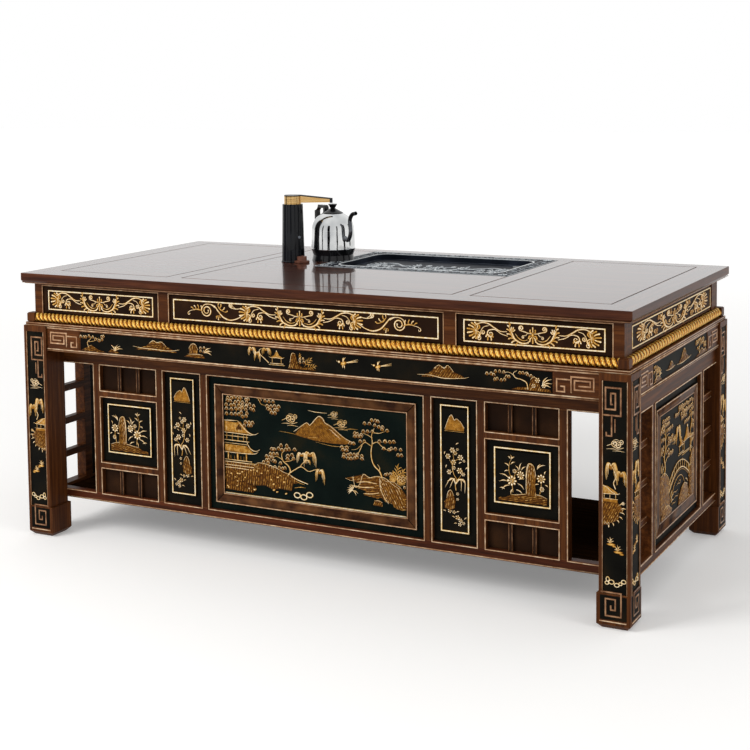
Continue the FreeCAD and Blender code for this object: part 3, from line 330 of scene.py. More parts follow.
class Relief:
    """Low relief on a flat field, laid out in millimetres across and up from a point on it."""

    bold = 1.0

    def __init__(self, origin, side):
        across, upward = (Vector(way) for way in ACROSS_AND_UP[side])
        self.place = Matrix((across, upward, across.cross(upward))).transposed().to_4x4()
        self.place.translation = origin
        self.corners, self.faces, self.tones = [], [], []

    def at(self, x, y, turn=0.0, stretch=(1, 1)):
        """The same relief from another point, turned in degrees, stretched or (with -1) mirrored."""
        part = copy.copy(self)
        part.place = (self.place @ Matrix.Translation((x, y, 0)) @ Matrix.Rotation(math.radians(turn), 4, "Z")
                      @ Matrix.Diagonal((*stretch, 1, 1)))
        return part

    def halves(self):
        """The same relief as it is, and mirrored."""
        return self.at(0, 0), self.at(0, 0, stretch=(-1, 1))

    def onto(self, origin, side):
        """The same relief on another face."""
        part = copy.copy(self)
        part.place = Relief(origin, side).place
        return part

    def skin(self, rings, looped=False):
        """Join rings of (x, y, height, tone) side by side, and close the two ends."""
        faces = joined(len(self.corners), len(rings), len(rings[0]), looped)
        for ring in rings:
            for x, y, z, tone in ring:
                self.corners.append((self.place @ Vector((x, y, z))) * MM)
                self.tones.append(tone)
        self.faces += [face[::-1] for face in faces] if self.place.determinant() < 0 else faces

    def stroke(self, points, wide, rise, tone=1.0, lift=0.0, fine=5):
        """A raised line through the points, with its width given at the start, middle and end."""
        line = curved(points, fine)
        wide = [w * self.bold for w in (wide if isinstance(wide, tuple) else (wide, wide, wide))]
        rings = []
        for step, here in enumerate(line):
            share = step / (len(line) - 1)
            low, high, part = (0, 1, share * 2) if share < 0.5 else (1, 2, share * 2 - 1)
            half = max(0.15, (wide[low] + (wide[high] - wide[low]) * part) / 2)
            ahead = (line[min(step + 1, len(line) - 1)] - line[max(step - 1, 0)]).normalized()
            side = Vector((-ahead.y, ahead.x)) * half
            top = rise * min(1.0, 0.35 + half / 1.2)
            # Each ring's tone is painted shade at the stroke's foot and a painted highlight on its crest.
            rings.append([(here.x + side.x * k, here.y + side.y * k, lift + top * h if h else SUNK,
                           rubbed_and_shaded(tone, h))
                          for k, h in ((1, 0), (0.72, 0.72), (0, 1), (-0.72, 0.72), (-1, 0))])
        self.skin(rings)

    def swell(self, outline, rise, profile, shade):
        """Rings that step in and up over a closed outline, with a tone for each share of the height."""
        outline = anticlockwise(outline)
        middle = sum((Vector(p) for p in outline), Vector((0, 0))) / len(outline)
        self.skin([[(middle.x + (x - middle.x) * share, middle.y + (y - middle.y) * share,
                     rise * high if high else SUNK,
                     shade(high)) for x, y in outline] for share, high in profile])

    def mound(self, outline, rise, tone=1.0):
        """A rounded swelling over a closed outline."""
        # The tone is painted shade at the mound's foot and a painted highlight on its top.
        self.swell(outline, rise, ((1, 0), (0.9, 0.62), (0.6, 0.93), (0.2, 1)),
                   lambda high: rubbed_and_shaded(tone, high))

    def plate(self, outline, rise, tone):
        """A flat swelling with a bevelled edge over a closed outline of any shape."""
        # The tone is painted shade on the bevelled edge, darker towards its foot.
        self.swell(outline, rise, ((1, 0), (0.99, 0.7), (0.965, 1)), lambda high: tone * (0.4 + 0.6 * high))

    def band(self, corners, wide, rise, tone=1.0, looped=False):
        """A half-round moulding along straight lines, mitred at the corners."""
        points, rings = [Vector(p) for p in corners], []
        for step, here in enumerate(points):
            before = points[step - 1] if step or looped else None
            after = points[(step + 1) % len(points)] if step < len(points) - 1 or looped else None
            come = (here - before).normalized() if before is not None else (after - here).normalized()
            go = (after - here).normalized() if after is not None else come
            side = Vector((-come.y - go.y, come.x + go.x))
            side *= wide / side.length / max(0.5, Vector((-come.y, come.x)).dot(side.normalized()))
            # The tone is painted shade down the moulding's sides and a painted highlight on its crest.
            rings.append([(here.x + side.x * k, here.y + side.y * k, rise * h if h else SUNK,
                           tone * (0.3 + 0.7 * h))
                          for k, h in ((0.5, 0), (0.5, 0.45), (0.28, 0.9), (0, 1), (-0.28, 0.9), (-0.5, 0.45),
                                       (-0.5, 0))])
        self.skin(rings, looped)

    def frame(self, low, high, wide, rise, tone=1.0, out=0.0):
        """A mitred rectangle of moulding between two corners, or a little outside them."""
        (low_x, low_y), (high_x, high_y) = (low[0] - out, low[1] - out), (high[0] + out, high[1] + out)
        self.band([(low_x, low_y), (high_x, low_y), (high_x, high_y), (low_x, high_y)], wide, rise, tone,
                  looped=True)

    def make(self, name, material, body="table", slot="gilded_wood"):
        """Turn the relief into one piece that rides on a body."""
        made = add_piece(name, self.corners, self.faces, material, body, slot)
        made.data.attributes.new("tone", "FLOAT", "POINT").data.foreach_set("value", self.tones)
        return made


def anticlockwise(outline):
    """A closed outline in the order that puts its inside on the left."""
    area = sum(x0 * y1 - x1 * y0 for (x0, y0), (x1, y1) in zip(outline, outline[1:] + outline[:1]))
    return outline if area > 0 else outline[::-1]


def curved(points, fine):
    """A smooth line of vectors through the points."""
    points = [Vector(p) for p in points]
    if len(points) < 3:
        return points
    ends = [points[0] * 2 - points[1]] + points + [points[-1] * 2 - points[-2]]
    line = []
    for a, b, c, d in zip(ends, ends[1:], ends[2:], ends[3:]):
        for step in range(fine):
            t = step / fine
            line.append((b * 2 + (c - a) * t + (a * 2 - b * 5 + c * 4 - d) * t ** 2
                         + (b * 3 - a - c * 3 + d) * t ** 3) / 2)
    return line + [points[-1]]


def oval(x, y, wide, high, turn=0.0, sides=10, point=0.0):
    """An oval outline, drawn out to a point at its far end when asked."""
    outline = []
    for step in range(sides):
        angle = math.tau * step / sides
        along, aside = math.cos(angle) * wide / 2, math.sin(angle) * high / 2
        aside *= 1 - point * (1 + math.cos(angle)) / 2
        spin = math.radians(turn)
        outline.append((x + along * math.cos(spin) - aside * math.sin(spin),
                        y + along * math.sin(spin) + aside * math.cos(spin)))
    return outline


def curl(relief, stem, radius, hand, wide, rise=1.9, turns=1.25, tone=1.0):
    """A stem that winds into a tightening spiral to the left (1) or right (-1) and ends in a knob."""
    end, before = Vector(stem[-1]), Vector(stem[-2])
    ahead = (end - before).normalized()
    side = Vector((-ahead.y, ahead.x)) * hand
    middle = end + side * radius
    first = math.atan2(-side.y, -side.x)
    steps = max(8, int(turns * 11))
    winding = []
    for step in range(1, steps + 1):
        angle = first + hand * math.tau * turns * step / steps
        reach = radius * (1 - 0.72 * step / steps)
        winding.append((middle.x + reach * math.cos(angle), middle.y + reach * math.sin(angle)))
    relief.stroke(list(stem) + winding, (wide * 0.6, wide, wide * 0.55), rise, tone, fine=3)
    relief.mound(oval(*winding[-1], wide * 1.25, wide * 1.25, sides=8), rise + 0.3, tone)


def leaf(relief, x, y, long, wide, turn, rise=1.7, tone=1.0):
    """A pointed leaf that arches a little on its way out."""
    c, s = math.cos(math.radians(turn)), math.sin(math.radians(turn))
    bend = long * (0.13 if c > 0 else -0.13)
    relief.stroke([(x, y), (x + long * 0.5 * c - bend * s, y + long * 0.5 * s + bend * c),
                   (x + long * c, y + long * s)], (wide * 0.3, wide, 0.4), rise, tone, fine=4)


def lobe(relief, x, y, long, wide, turn, bend, tone=1.0):
    """A rounded leaf lobe: narrow at its root, full and bright at its tip."""
    c, s = math.cos(math.radians(turn)), math.sin(math.radians(turn))
    middle = (x + long * 0.48 * c - bend * s, y + long * 0.48 * s + bend * c)
    tip = (x + long * 0.84 * c, y + long * 0.84 * s)
    relief.stroke([(x, y), middle, tip], (wide * 0.45, wide * 0.8, wide), LOBE_RISE, tone * 0.95, fine=3)
    relief.mound(oval(*tip, wide * 1.15, wide * 1.05, turn, 8), LOBE_RISE + 0.2, tone)


def fan(relief, x, y, long, first, last, count, wide, tone=1.0):
    """Lobes that spread from a point between two directions like a shell, longest in the middle."""
    for step in range(count):
        share = step / (count - 1)
        turn = first + (last - first) * share
        lobe(relief, x, y, long * (0.74 + 0.26 * math.sin(math.pi * share)), wide, turn,
             (share - 0.5) * long * 0.5 * (-1 if last < first else 1), tone * (0.8 + 0.2 * (step % 2)))


def acanthus(relief, spine, first, last, count, long, wide=4.8):
    """A leaf along a curved spine, with lobes on its outer side that turn from one direction to another."""
    line = curved(spine, 6)
    relief.stroke(spine, (2.0, 4.6, 2.4), 2.4, 0.8)
    for step in range(count):
        share = step / (count - 1)
        root = line[round(share * (len(line) - 1))]
        lobe(relief, root.x, root.y, long * (0.7 + 0.3 * math.sin(math.pi * (0.2 + 0.7 * share))), wide,
             first + (last - first) * share, long * 0.12, 0.84 + 0.16 * (step % 2))


def scroll_heart(relief, reach=66):
    """Half of the middle motif: a garland up to a lobed leaf, and two scrolls inside it."""
    k = reach / 66
    relief.stroke([(5 * k, -11), (14 * k, -20), (30 * k, -21), (45 * k, -13), (53 * k, 1), (58 * k, 14)],
                  (2.6, 5.4, 2.6), 2.5)
    relief.stroke([(12 * k, -12), (24 * k, -15), (36 * k, -10), (45 * k, 1)], (1.4, 3.2, 1.4), 1.9, 0.85)
    curl(relief, [(3 * k, 3), (12 * k, 4), (22 * k, 7), (31 * k, 9)], 6.5, 1, 4.2)
    curl(relief, [(13 * k, 4), (18 * k, -2), (25 * k, -3)], 3.6, -1, 2.8, turns=0.9)
    acanthus(relief, [(36 * k, -20), (49 * k, -12), (57 * k, 2), (60 * k, 16)], -48, 86, 7, 15)
    for turn, long in ((150, 13), (120, 15), (96, 13)):
        lobe(relief, 56 * k, 4, long, 4.2, turn, 1.5)


def scroll_arm(relief, reach=66):
    """From the lobed leaf outwards: crossing stems, a scroll with three leaves, and a shell of lobes."""
    k = reach / 66
    relief.stroke([(66 * k, 4), (84 * k, 4), (100 * k, 12), (116 * k, 21), (134 * k, 22), (150 * k, 14)],
                  (2.2, 4.4, 3.0), 2.3)
    curl(relief, [(64 * k, -7), (82 * k, -2), (97 * k, 7), (110 * k, 6)], 10, -1, 4.0, turns=1.1)
    curl(relief, [(114 * k, 16), (127 * k, 12), (134 * k, 3)], 6, -1, 3.4)
    fan(relief, 112 * k, -7, 16, -155, -25, 4, 4.6)
    relief.stroke([(146 * k, -14), (152 * k, -4), (152 * k, 6), (145 * k, 15)], (2.4, 5.4, 2.4), 2.6, 0.7)
    fan(relief, 147 * k, 2, 28, 104, -112, 10, 5.6)
    curl(relief, [(142 * k, -6), (136 * k, -13)], 5.4, 1, 3.4, turns=0.9)


def drop_flower(relief):
    """The flower at the foot of the middle motif, under a small crown."""
    fan(relief, 0, -4, 18, -158, -22, 5, 5.2)
    fan(relief, 0, 5, 15, 46, 134, 3, 4.6)
    relief.mound(oval(0, 0, 8, 13), 2.8, 0.8)
    for x in (-12, 12):
        relief.mound(oval(x, -19, 5.5, 5.5, sides=8), 2.2)


def short_scrollwork(relief):
    """The scrollwork of the short boards."""
    drop_flower(relief)
    for half in relief.halves():
        scroll_heart(half)
        scroll_arm(half)


def long_scrollwork(relief):
    """The scrollwork of the long boards: the short kind, and beyond it a wave, a spiral and a leaf drop."""
    drop_flower(relief)
    for half in relief.halves():
        scroll_heart(half, 74)
        scroll_arm(half, 72)
        half.stroke([(174, -4), (192, -14), (214, -19), (236, -12), (252, 4), (262, 15), (276, 20)],
                    (2.6, 4.6, 3.4), 2.2)
        curl(half, [(262, 12), (274, 19), (286, 20)], 18, -1, 4.2, turns=1.8)
        curl(half, [(180, 14), (196, 12), (212, 15)], 6, 1, 4.0)
        curl(half, [(196, 12), (206, 19)], 4, -1, 3.0, turns=0.8)
        acanthus(half, [(232, 2), (244, 8), (252, 18)], 165, 92, 4, 14, 4.2)
        fan(half, 252, -10, 12, -150, -50, 3, 3.8)
        acanthus(half, [(300, 0), (314, 4), (330, 3)], 118, 40, 5, 14, 4.0)
        curl(half, [(326, 2), (338, 0), (346, -4)], 5, -1, 2.8, turns=0.7)


def relief_finish(name, noise, unevenness, stops, values, flaked=False):
    """Low relief, coloured from its dark hollows, aged and painted with shade, up to where it is rubbed
    bright and painted with a highlight, and a little uneven.
    """
    material, tree, shader, place = start_material(name)
    height = add_node(tree, "Attribute", attribute_name="tone")
    patch = add_node(tree, "TexNoise", {"Vector": place, **noise})
    uneven = add_node(tree, "MapRange", {"Value": patch.outputs["Fac"], "From Min": 0.3, "From Max": 0.7,
                                         "To Min": unevenness[0], "To Max": unevenness[1]})
    mixed = add_node(tree, "Math", {0: height.outputs["Fac"], 1: uneven.outputs[0]}, operation="ADD")
    ramp = add_node(tree, "ValToRGB", {"Fac": mixed.outputs[0]}, stops=stops)
    set_inputs(tree, shader, {"Base Color": ramp.outputs["Color"], **values})
    if flaked:
        flakes = add_node(tree, "Bump", {"Height": patch.outputs["Fac"], "Strength": 0.25,
                                         "Distance": 0.0006})
        set_inputs(tree, shader, {"Normal": flakes.outputs[0]})
    return material


def clouded_lacquer(name, tones):
    """Dark lacquer ground: nearly black, with a soft cloudiness and a few brown rubbed patches."""
    material, tree, shader, place = start_material(name)
    cloud_noise = add_node(tree, "TexNoise", {"Vector": place, "Scale": pattern(CLOUD_MM), "Detail": 3.0})
    speck = add_node(tree, "TexNoise", {"Vector": place, "Scale": pattern(SPECK_MM), "Detail": 1.0})
    mixed = add_node(tree, "MixRGB", {"Fac": 0.3, "Color1": cloud_noise.outputs["Fac"],
                                      "Color2": speck.outputs["Fac"]})
    ramp = add_node(tree, "ValToRGB", {"Fac": mixed.outputs[0]}, stops=list(zip((0.36, 0.54, 0.68), tones)))
    grain = add_node(tree, "Bump", {"Height": speck.outputs["Fac"], "Strength": 0.1, "Distance": 0.0003})
    set_inputs(tree, shader, {"Base Color": ramp.outputs["Color"], "Roughness": 0.5,
                              "Specular IOR Level": 0.03, "Normal": grain.outputs[0]})
    return material


# Gilt carving: aged brown and painted shade in the hollows, warm gold on the slopes, pale where it is rubbed
# bright and where a highlight is painted on the crests.
gilt = relief_finish("shaded_and_rubbed_gilding", {"Scale": pattern(GILT_PATCH_MM), "Detail": 4.0, "Roughness": 0.7},
                     (-0.15, 0.1), [(0.08, "#140a04"), (0.32, "#5a340f"), (0.56, "#a87124"),
                                    (0.76, "#dcab58"), (0.9, "#f6dfae"), (1.0, "#fff4dc")],
                     {"Metallic": 0.5, "Roughness": 0.36, "Specular IOR Level": 0.1}, flaked=True)
# Pale copper lines: lacquered mouldings, rubbed lighter on top with a painted highlight there and painted
# shade down their sides, that edge every field and opening.
copper = relief_finish("pale_copper_lining", {"Scale": pattern(COPPER_PATCH_MM), "Detail": 3.0}, (-0.2, 0.1),
                       [(0.1, "#261308"), (0.45, "#6c4428"), (0.76, "#b58a64"), (1.0, "#ead0ae")],
                       {"Metallic": 0.2, "Roughness": 0.34, "Specular IOR Level": 0.3})
LINING = {"material": copper, "slot": "rosewood"}
lacquer = clouded_lacquer("clouded_black_lacquer", ("#0a0907", "#12110d", "#21180d"))
green_lacquer = clouded_lacquer("clouded_green_black_lacquer", ("#060d0b", "#0b1411", "#1c1a10"))
brown_lacquer = clouded_lacquer("clouded_brown_lacquer", ("#1b100a", "#28180e", "#3a2414"))


def carve(name, place, side, *drawings, stretch=(1, 1), material=gilt, slot="gilded_wood"):
    """One piece of relief on a face of the table, from the functions that draw it."""
    field = Relief(place, side).at(0, 0, stretch=stretch)
    for drawn in drawings:
        drawn(field)
    field.make(name, material, slot=slot)


def framed_scrolls(name, place, side, reach, drawn, body="table"):
    """Scrollwork inside a gilt frame, as one piece."""
    field = Relief(place, side)
    field.frame((-reach, -WAIST_HALF), (reach, WAIST_HALF), WAIST_LINE, 1.6)
    field.bold = SCROLL_BOLD
    drawn(field)
    field.make(name, gilt, body)


finish_nodes(brown_lacquer, "waist_panel_left", "waist_panel_centre", "waist_panel_right")
for name, middle, reach, drawn in (("left", -645, 180, short_scrollwork), ("centre", 0, 395, long_scrollwork),
                                   ("right", 645, 180, short_scrollwork)):
    framed_scrolls("waist_scrolls_" + name, (middle, -WAIST_FRONT, WAIST_MIDDLE), "front", reach, drawn)


# Aprons: a sunk field of black lacquer with a gilt landscape, between two fret ends.
# Trees, rocks, a pavilion and birds are small raised shapes with hatched faces.
APRON_LOW, APRON_HIGH, FRET_LOW, FRET_HIGH = 548, 602, 555, 594
APRON_GROUND, APRON_FACE, CLEAR = (889, 439), (891, 441), 0.3
BIRD_TONE = 0.95


def turned(points, turn):
    """Points turned about the origin by an angle in degrees."""
    c, s = math.cos(math.radians(turn)), math.sin(math.radians(turn))
    return [(x * c - y * s, x * s + y * c) for x, y in points]


def hatch(relief, outline, turn, gap, seed, wide, lift, tone):
    """Fill an outline with broken parallel ridges, as a carver's gouge leaves them."""
    chance = random.Random(seed)
    level_points = turned(outline, -turn)
    height = min(y for _, y in level_points) + gap * 0.6
    top = max(y for _, y in level_points)
    while height < top:
        crossings = []
        for (x0, y0), (x1, y1) in zip(level_points, level_points[1:] + level_points[:1]):
            if (y0 > height) != (y1 > height):
                crossings.append(x0 + (x1 - x0) * (height - y0) / (y1 - y0))
        crossings.sort()
        for low, high in zip(crossings[::2], crossings[1::2]):
            x = low + chance.uniform(0.8, 2.5)
            while x < high - 2.5:
                end = min(high - 0.8, x + chance.uniform(5, 16))
                bend = chance.uniform(-0.5, 0.5) * gap * 0.4
                relief.stroke(turned([(x, height), ((x + end) / 2, height + bend), (end, height)], turn),
                              (wide * 0.5, wide * chance.uniform(0.8, 1.5), wide * 0.4), 0.7,
                              tone * chance.uniform(0.7, 1.15), lift, fine=2)
                x = end + chance.uniform(1.0, 3.5)
        height += gap * chance.uniform(0.8, 1.25)


def rock(relief, outline, turn, seed, gap=4.0, rise=1.3, tone=0.62, edge=1.0):
    """A rock, shore or hill: a flat swelling with hatched faces and a bright upper edge, which is a painted
    highlight.
    """
    relief.plate(outline, rise, tone * 0.52)
    hatch(relief, outline, turn, gap * 1.35, seed, gap * 0.55, rise * 0.9, tone * 1.2)
    if edge:
        middle = sum(y for _, y in outline) / len(outline)
        upper = [p for p in outline if p[1] >= middle - 0.5]
        relief.stroke(sorted(upper), (1.2, 2.4, 1.2), 0.9, edge, rise * 0.9, fine=3)


def pads(relief, places, wide, high):
    """Pine pads: small round domes, darkened as painted shade, with a raised crescent along the top made
    bright as a painted highlight.
    """
    for x, y in places:
        relief.mound(oval(x, y - high * 0.1, wide * 0.94, high, sides=8), 1.4, 0.4)
        relief.stroke([(x - wide * 0.48, y - high * 0.26), (x - wide * 0.2, y + high * 0.4),
                       (x + wide * 0.2, y + high * 0.4), (x + wide * 0.48, y - high * 0.2)],
                      (0.9, high * 0.3, 0.9), 1.4, 1.0, 0.9, fine=2)


def clumps(relief, areas, wide, high, seed):
    """Foliage of many pads scattered evenly over oval areas (x, y, reach across, reach up)."""
    chance, high = random.Random(seed), high * 1.5
    for x, y, across, upward in areas:
        rows = max(1, round(upward * 2 / (high * 0.98)))
        for row in range(rows):
            level_y = y - upward + (row + 0.5) * upward * 2 / rows
            half = across * math.sqrt(max(0.12, 1 - ((level_y - y) / (upward + high)) ** 2))
            count = max(1, round(half * 2 / (wide * 1.02)))
            pads(relief, [(x - half + (k + 0.5) * half * 2 / count + chance.uniform(-0.25, 0.25) * wide,
                           level_y + chance.uniform(-0.22, 0.22) * high) for k in range(count)],
                 wide * chance.uniform(0.85, 1.1), high)


def weeping(relief, x, y, wide, high, seed, strands=7):
    """A weeping crown: long fine branches that arch over and hang."""
    chance = random.Random(seed)
    relief.mound(oval(x, y - high * 0.16, wide * 0.8, high * 0.3, sides=14), 1.6, 0.5)
    for strand in range(strands):
        share = strand // 2 / max(1, (strands - 1) // 2)
        out = (-1 if strand % 2 else 1) * (0.22 + 0.28 * share) * wide
        drop = high * chance.uniform(0.8, 1.0) * (0.6 + 0.4 * share)
        relief.stroke([(x, y - high * 0.12), (x + out * 0.6, y + high * 0.02 * (1 + share)),
                       (x + out * 0.98, y - drop * 0.4), (x + out * 0.94, y - drop)],
                      (1.6, 3.2, 1.0), 2.4, 0.9 * chance.uniform(0.85, 1.15))


def sprig(relief, x, y, long, turn, pairs=3, wide=3.2):
    """A stem with pairs of narrow leaves and one at the tip."""
    c, s = math.cos(math.radians(turn)), math.sin(math.radians(turn))
    relief.stroke([(x, y), (x + long * c, y + long * s)], (1.4, 1.2, 0.8), 1.5, 0.68)
    for pair in range(pairs):
        share = (pair + 1) / (pairs + 1)
        for hand in (-1, 1):
            leaf(relief, x + long * share * c, y + long * share * s, long * (0.5 - 0.22 * share), wide,
                 turn + hand * 42, 1.4, 0.8)
    leaf(relief, x + long * 0.9 * c, y + long * 0.9 * s, long * 0.3, wide, turn, 1.4, 0.8)


def blossom(relief, x, y, size, petals=6, tone=1.0):
    """A round flower: an outer ring of parted petals, a smaller one inside, and a button."""
    for count, reach, long, shine in ((petals, 0.34, 0.32, 1.0), (petals - 1, 0.15, 0.2, 0.85)):
        for petal in range(count):
            angle = math.tau * (petal + (0.5 if reach < 0.3 else 0)) / count
            relief.mound(oval(x + size * reach * math.cos(angle), y + size * reach * math.sin(angle),
                              size * long, size * min(0.34, 0.88 * math.tau * reach / count),
                              math.degrees(angle), 8), 1.8, tone * shine)
    relief.mound(oval(x, y, size * 0.12, size * 0.12, sides=6), 2.3, tone)


def bird(relief, x, y, size):
    """A flying bird with raised wings and a long tail to the right."""
    k = size / 40
    relief.mound(oval(x, y, 20 * k, 11 * k, 18), 2.0, 0.76)
    relief.mound(oval(x - 12 * k, y + 3 * k, 8 * k, 7 * k), 2.2, BIRD_TONE)
    relief.stroke([(x - 15 * k, y + 3 * k), (x - 21 * k, y + 6 * k)], (2.4 * k, 1.4 * k, 0.4), 1.4, BIRD_TONE)
    for turn, long in ((62, 15), (80, 13), (100, 11), (-72, 12), (-95, 10)):
        leaf(relief, x - 1 * k, y + (2 if turn > 0 else -2) * k, long * k, 4.6 * k, turn, 1.6, BIRD_TONE)
    for lift in (0, 1.6, -1.4):
        relief.stroke([(x + 7 * k, y + 2 * k), (x + 22 * k, y + (5 + lift) * k),
                       (x + 40 * k, y + (9 + lift * 2) * k)],
                      (3.0 * k, 2.2 * k, 0.8), 1.5, BIRD_TONE)


def pavilion(relief, x, y, wide, high):
    """A small open pavilion: a hatched roof with upturned eaves on posts and a plinth."""
    eave, ridge = y + high * 0.48, y + high
    outline = [(x - wide * 0.5, eave), (x + wide * 0.5, eave), (x + wide * 0.2, eave + high * 0.2),
               (x + wide * 0.05, ridge), (x - wide * 0.05, ridge), (x - wide * 0.2, eave + high * 0.2)]
    relief.plate(outline, 1.7, 0.62)
    hatch(relief, outline, 78, wide * 0.1, 5, 1.0, 1.5, 0.85)
    relief.stroke([(x - wide * 0.58, eave + high * 0.09), (x - wide * 0.4, eave - high * 0.01),
                   (x, eave + high * 0.02), (x + wide * 0.4, eave - high * 0.01),
                   (x + wide * 0.58, eave + high * 0.09)],
                  (1.0, 3.0, 1.0), 1.2, 1.0, 1.2, fine=4)
    relief.mound(oval(x, ridge + high * 0.05, wide * 0.1, high * 0.16), 2.2)
    for post in (-0.34, 0.34):
        relief.stroke([(x + wide * post, y), (x + wide * post, eave)], 2.0, 1.6, 0.9)
    relief.stroke([(x - wide * 0.5, y), (x + wide * 0.5, y)], 2.6, 1.8, 1.0)
    relief.stroke([(x - wide * 0.62, y - 4), (x + wide * 0.62, y - 4)], 2.2, 1.5, 0.9)


def meander(lining, low_x, turn_x, end_x, low, high):
    """A fret of two square spirals: a small one towards the field and a large one at the post."""
    step = (high - low) / 4.6
    out = 1 if end_x > low_x else -1
    lining.band([(turn_x, low), (turn_x, high), (end_x, high), (end_x, low + step),
                 (turn_x + out * step, low + step), (turn_x + out * step, high - step),
                 (end_x - out * step, high - step), (end_x - out * step, low + 2.1 * step),
                 (turn_x + out * 2.1 * step, low + 2.1 * step)], 4.6, 1.6, 0.8)
    lining.band([(turn_x, high - step * 0.9), (low_x, high - step * 0.9), (low_x, low + step * 0.2),
                 (low_x + out * 2.3 * step, low + step * 0.2), (low_x + out * 2.3 * step, low + 1.7 * step),
                 (low_x + out * 1.1 * step, low + 1.7 * step)], 4.2, 1.6, 0.8)


def ground_plate(name, place, side, low, high, material=lacquer, body="table"):
    """A thin sheet of lacquer on the floor of a sunk field, or on a plain face."""
    sheet = Relief(place, side)
    sheet.plate([(low[0], low[1]), (high[0], low[1]), (high[0], high[1]), (low[0], high[1])], 0.3, 0)
    sheet.make(name, material, body, slot="black_lacquer")


def middle_of(side, out_x, out_y, up=0):
    """The middle of a side, at its distance from the table's axis."""
    return {"front": (0, -out_y, up), "rear": (0, out_y, up), "right": (out_x, 0, up),
            "left": (-out_x, 0, up)}[side]


def front_landscape(r):
    """The long landscape of the front apron, in X and Z, from left to right."""
    rock(r, [(-700, 550), (-612, 550), (-640, 556), (-662, 567), (-674, 563), (-690, 555)], 15, 1)
    r.stroke([(-672, 560), (-676, 574), (-664, 586), (-668, 594)], (3.2, 2.4, 1.2), 1.8, 0.9)
    r.stroke([(-672, 576), (-652, 580), (-636, 590)], (2.0, 1.6, 1.0), 1.6, 0.9)
    clumps(r, [(-690, 588, 13, 6), (-664, 591, 12, 7), (-636, 583, 13, 6), (-622, 594, 9, 4)], 9.5, 6.5, 11)
    rock(r, [(-606, 551), (-566, 551), (-578, 558), (-594, 561)], 10, 2)
    for turn, long in ((128, 22), (96, 14), (62, 20), (38, 25), (16, 28)):
        leaf(r, -582, 556, long, 4.4, turn)
    rock(r, [(-512, 567), (-372, 566), (-388, 573), (-410, 582), (-424, 593), (-440, 590), (-452, 595),
             (-466, 586), (-478, 577), (-500, 572)], 8, 3)
    r.stroke([(-520, 575), (-490, 572), (-450, 571), (-400, 570), (-366, 575)], (1.2, 3.4, 1.2), 2.2)
    rock(r, [(-352, 558), (-282, 558), (-290, 566), (-308, 568), (-338, 566)], 5, 4)
    rock(r, [(-334, 566), (-308, 566), (-306, 580), (-314, 594), (-326, 594), (-335, 582)], 75, 5)
    clumps(r, [(-292, 581, 10, 9)], 8, 5.5, 12)
    for turn in (34, 8, -14):
        leaf(r, -286, 574, 24, 5, turn)
    r.stroke([(-84, 562), (-96, 572), (-110, 583), (-112, 594), (-104, 599)], (3.4, 3.0, 1.4), 2.0)
    for x, y, wide, high, seed in ((-136, 599, 26, 30, 21), (-120, 588, 20, 28, 22), (-92, 600, 30, 24, 23)):
        weeping(r, x, y, wide, high, seed)
    pavilion(r, -60, 562, 40, 31)
    rock(r, [(-26, 552), (58, 552), (40, 560), (20, 557), (4, 566), (-4, 592), (-14, 592), (-20, 568)], 70, 6)
    clumps(r, [(16, 574, 10, 9)], 8, 6, 13)
    sprig(r, 22, 560, 30, 46)
    sprig(r, 26, 556, 30, 14)
    sprig(r, 12, 576, 16, 100, 2)
    bird(r, 138, 578, 42)
    bird(r, 237, 577, 38)
    rock(r, [(356, 562), (478, 566), (466, 574), (446, 580), (430, 596), (420, 588), (406, 595), (392, 586),
             (380, 574), (366, 569)], 55, 7)
    r.stroke([(346, 567), (380, 568), (420, 563), (470, 567), (486, 571)], (1.0, 3.0, 1.0), 2.0)
    clumps(r, [(544, 583, 13, 5), (566, 592, 16, 4.5), (566, 572, 18, 5), (588, 582, 8, 6)], 9, 6, 14)
    r.stroke([(640, 554), (636, 570), (622, 577), (608, 580), (602, 590), (612, 598)], (3.6, 3.2, 1.6), 2.1)
    r.stroke([(606, 584), (590, 592), (572, 588)], (2.0, 1.8, 1.0), 1.7)
    clumps(r, [(626, 594, 13, 5), (642, 588, 7, 4)], 9, 5.5, 15)
    rock(r, [(596, 551), (700, 551), (696, 558), (672, 560), (668, 574), (656, 586), (646, 578), (642, 560),
             (612, 557)], 65, 8)
    for x, y, size in ((664, 578, 14), (680, 566, 12), (654, 564, 11)):
        blossom(r, x, y, size)
    for turn, long in ((58, 26), (36, 30), (14, 26), (-8, 22)):
        leaf(r, 676, 566, long, 4.6, turn)


def end_landscape(r):
    """The short landscape of the end aprons, across the end."""
    rock(r, [(-252, 551), (-176, 551), (-190, 560), (-214, 566), (-236, 559)], 12, 31)
    clumps(r, [(-232, 584, 15, 9), (-206, 578, 12, 7)], 9, 6, 32)
    r.stroke([(-222, 558), (-226, 570), (-216, 582), (-218, 592)], (3.0, 2.4, 1.2), 1.9)
    for turn in (70, 40, 12):
        leaf(r, -196, 562, 22, 4.6, turn)
    rock(r, [(-128, 562), (-66, 562), (-78, 572), (-92, 582), (-104, 576), (-116, 570)], 20, 33)
    r.stroke([(-140, 566), (-100, 563), (-56, 566)], (1.0, 2.8, 1.0), 1.8)
    rock(r, [(-30, 560), (78, 562), (60, 572), (42, 580), (28, 595), (14, 588), (2, 576), (-14, 570)], 55, 34)
    r.stroke([(-44, 564), (10, 561), (92, 566)], (1.0, 3.0, 1.0), 2.0)
    r.stroke([(176, 556), (170, 570), (180, 582), (174, 596)], (3.4, 2.8, 1.4), 2.0)
    clumps(r, [(150, 588, 15, 7), (176, 594, 12, 5), (204, 586, 17, 8), (160, 572, 10, 5), (228, 572, 14, 7)],
           9, 6, 35)
    rock(r, [(134, 551), (252, 551), (240, 562), (214, 560), (196, 568), (172, 558)], 15, 36)


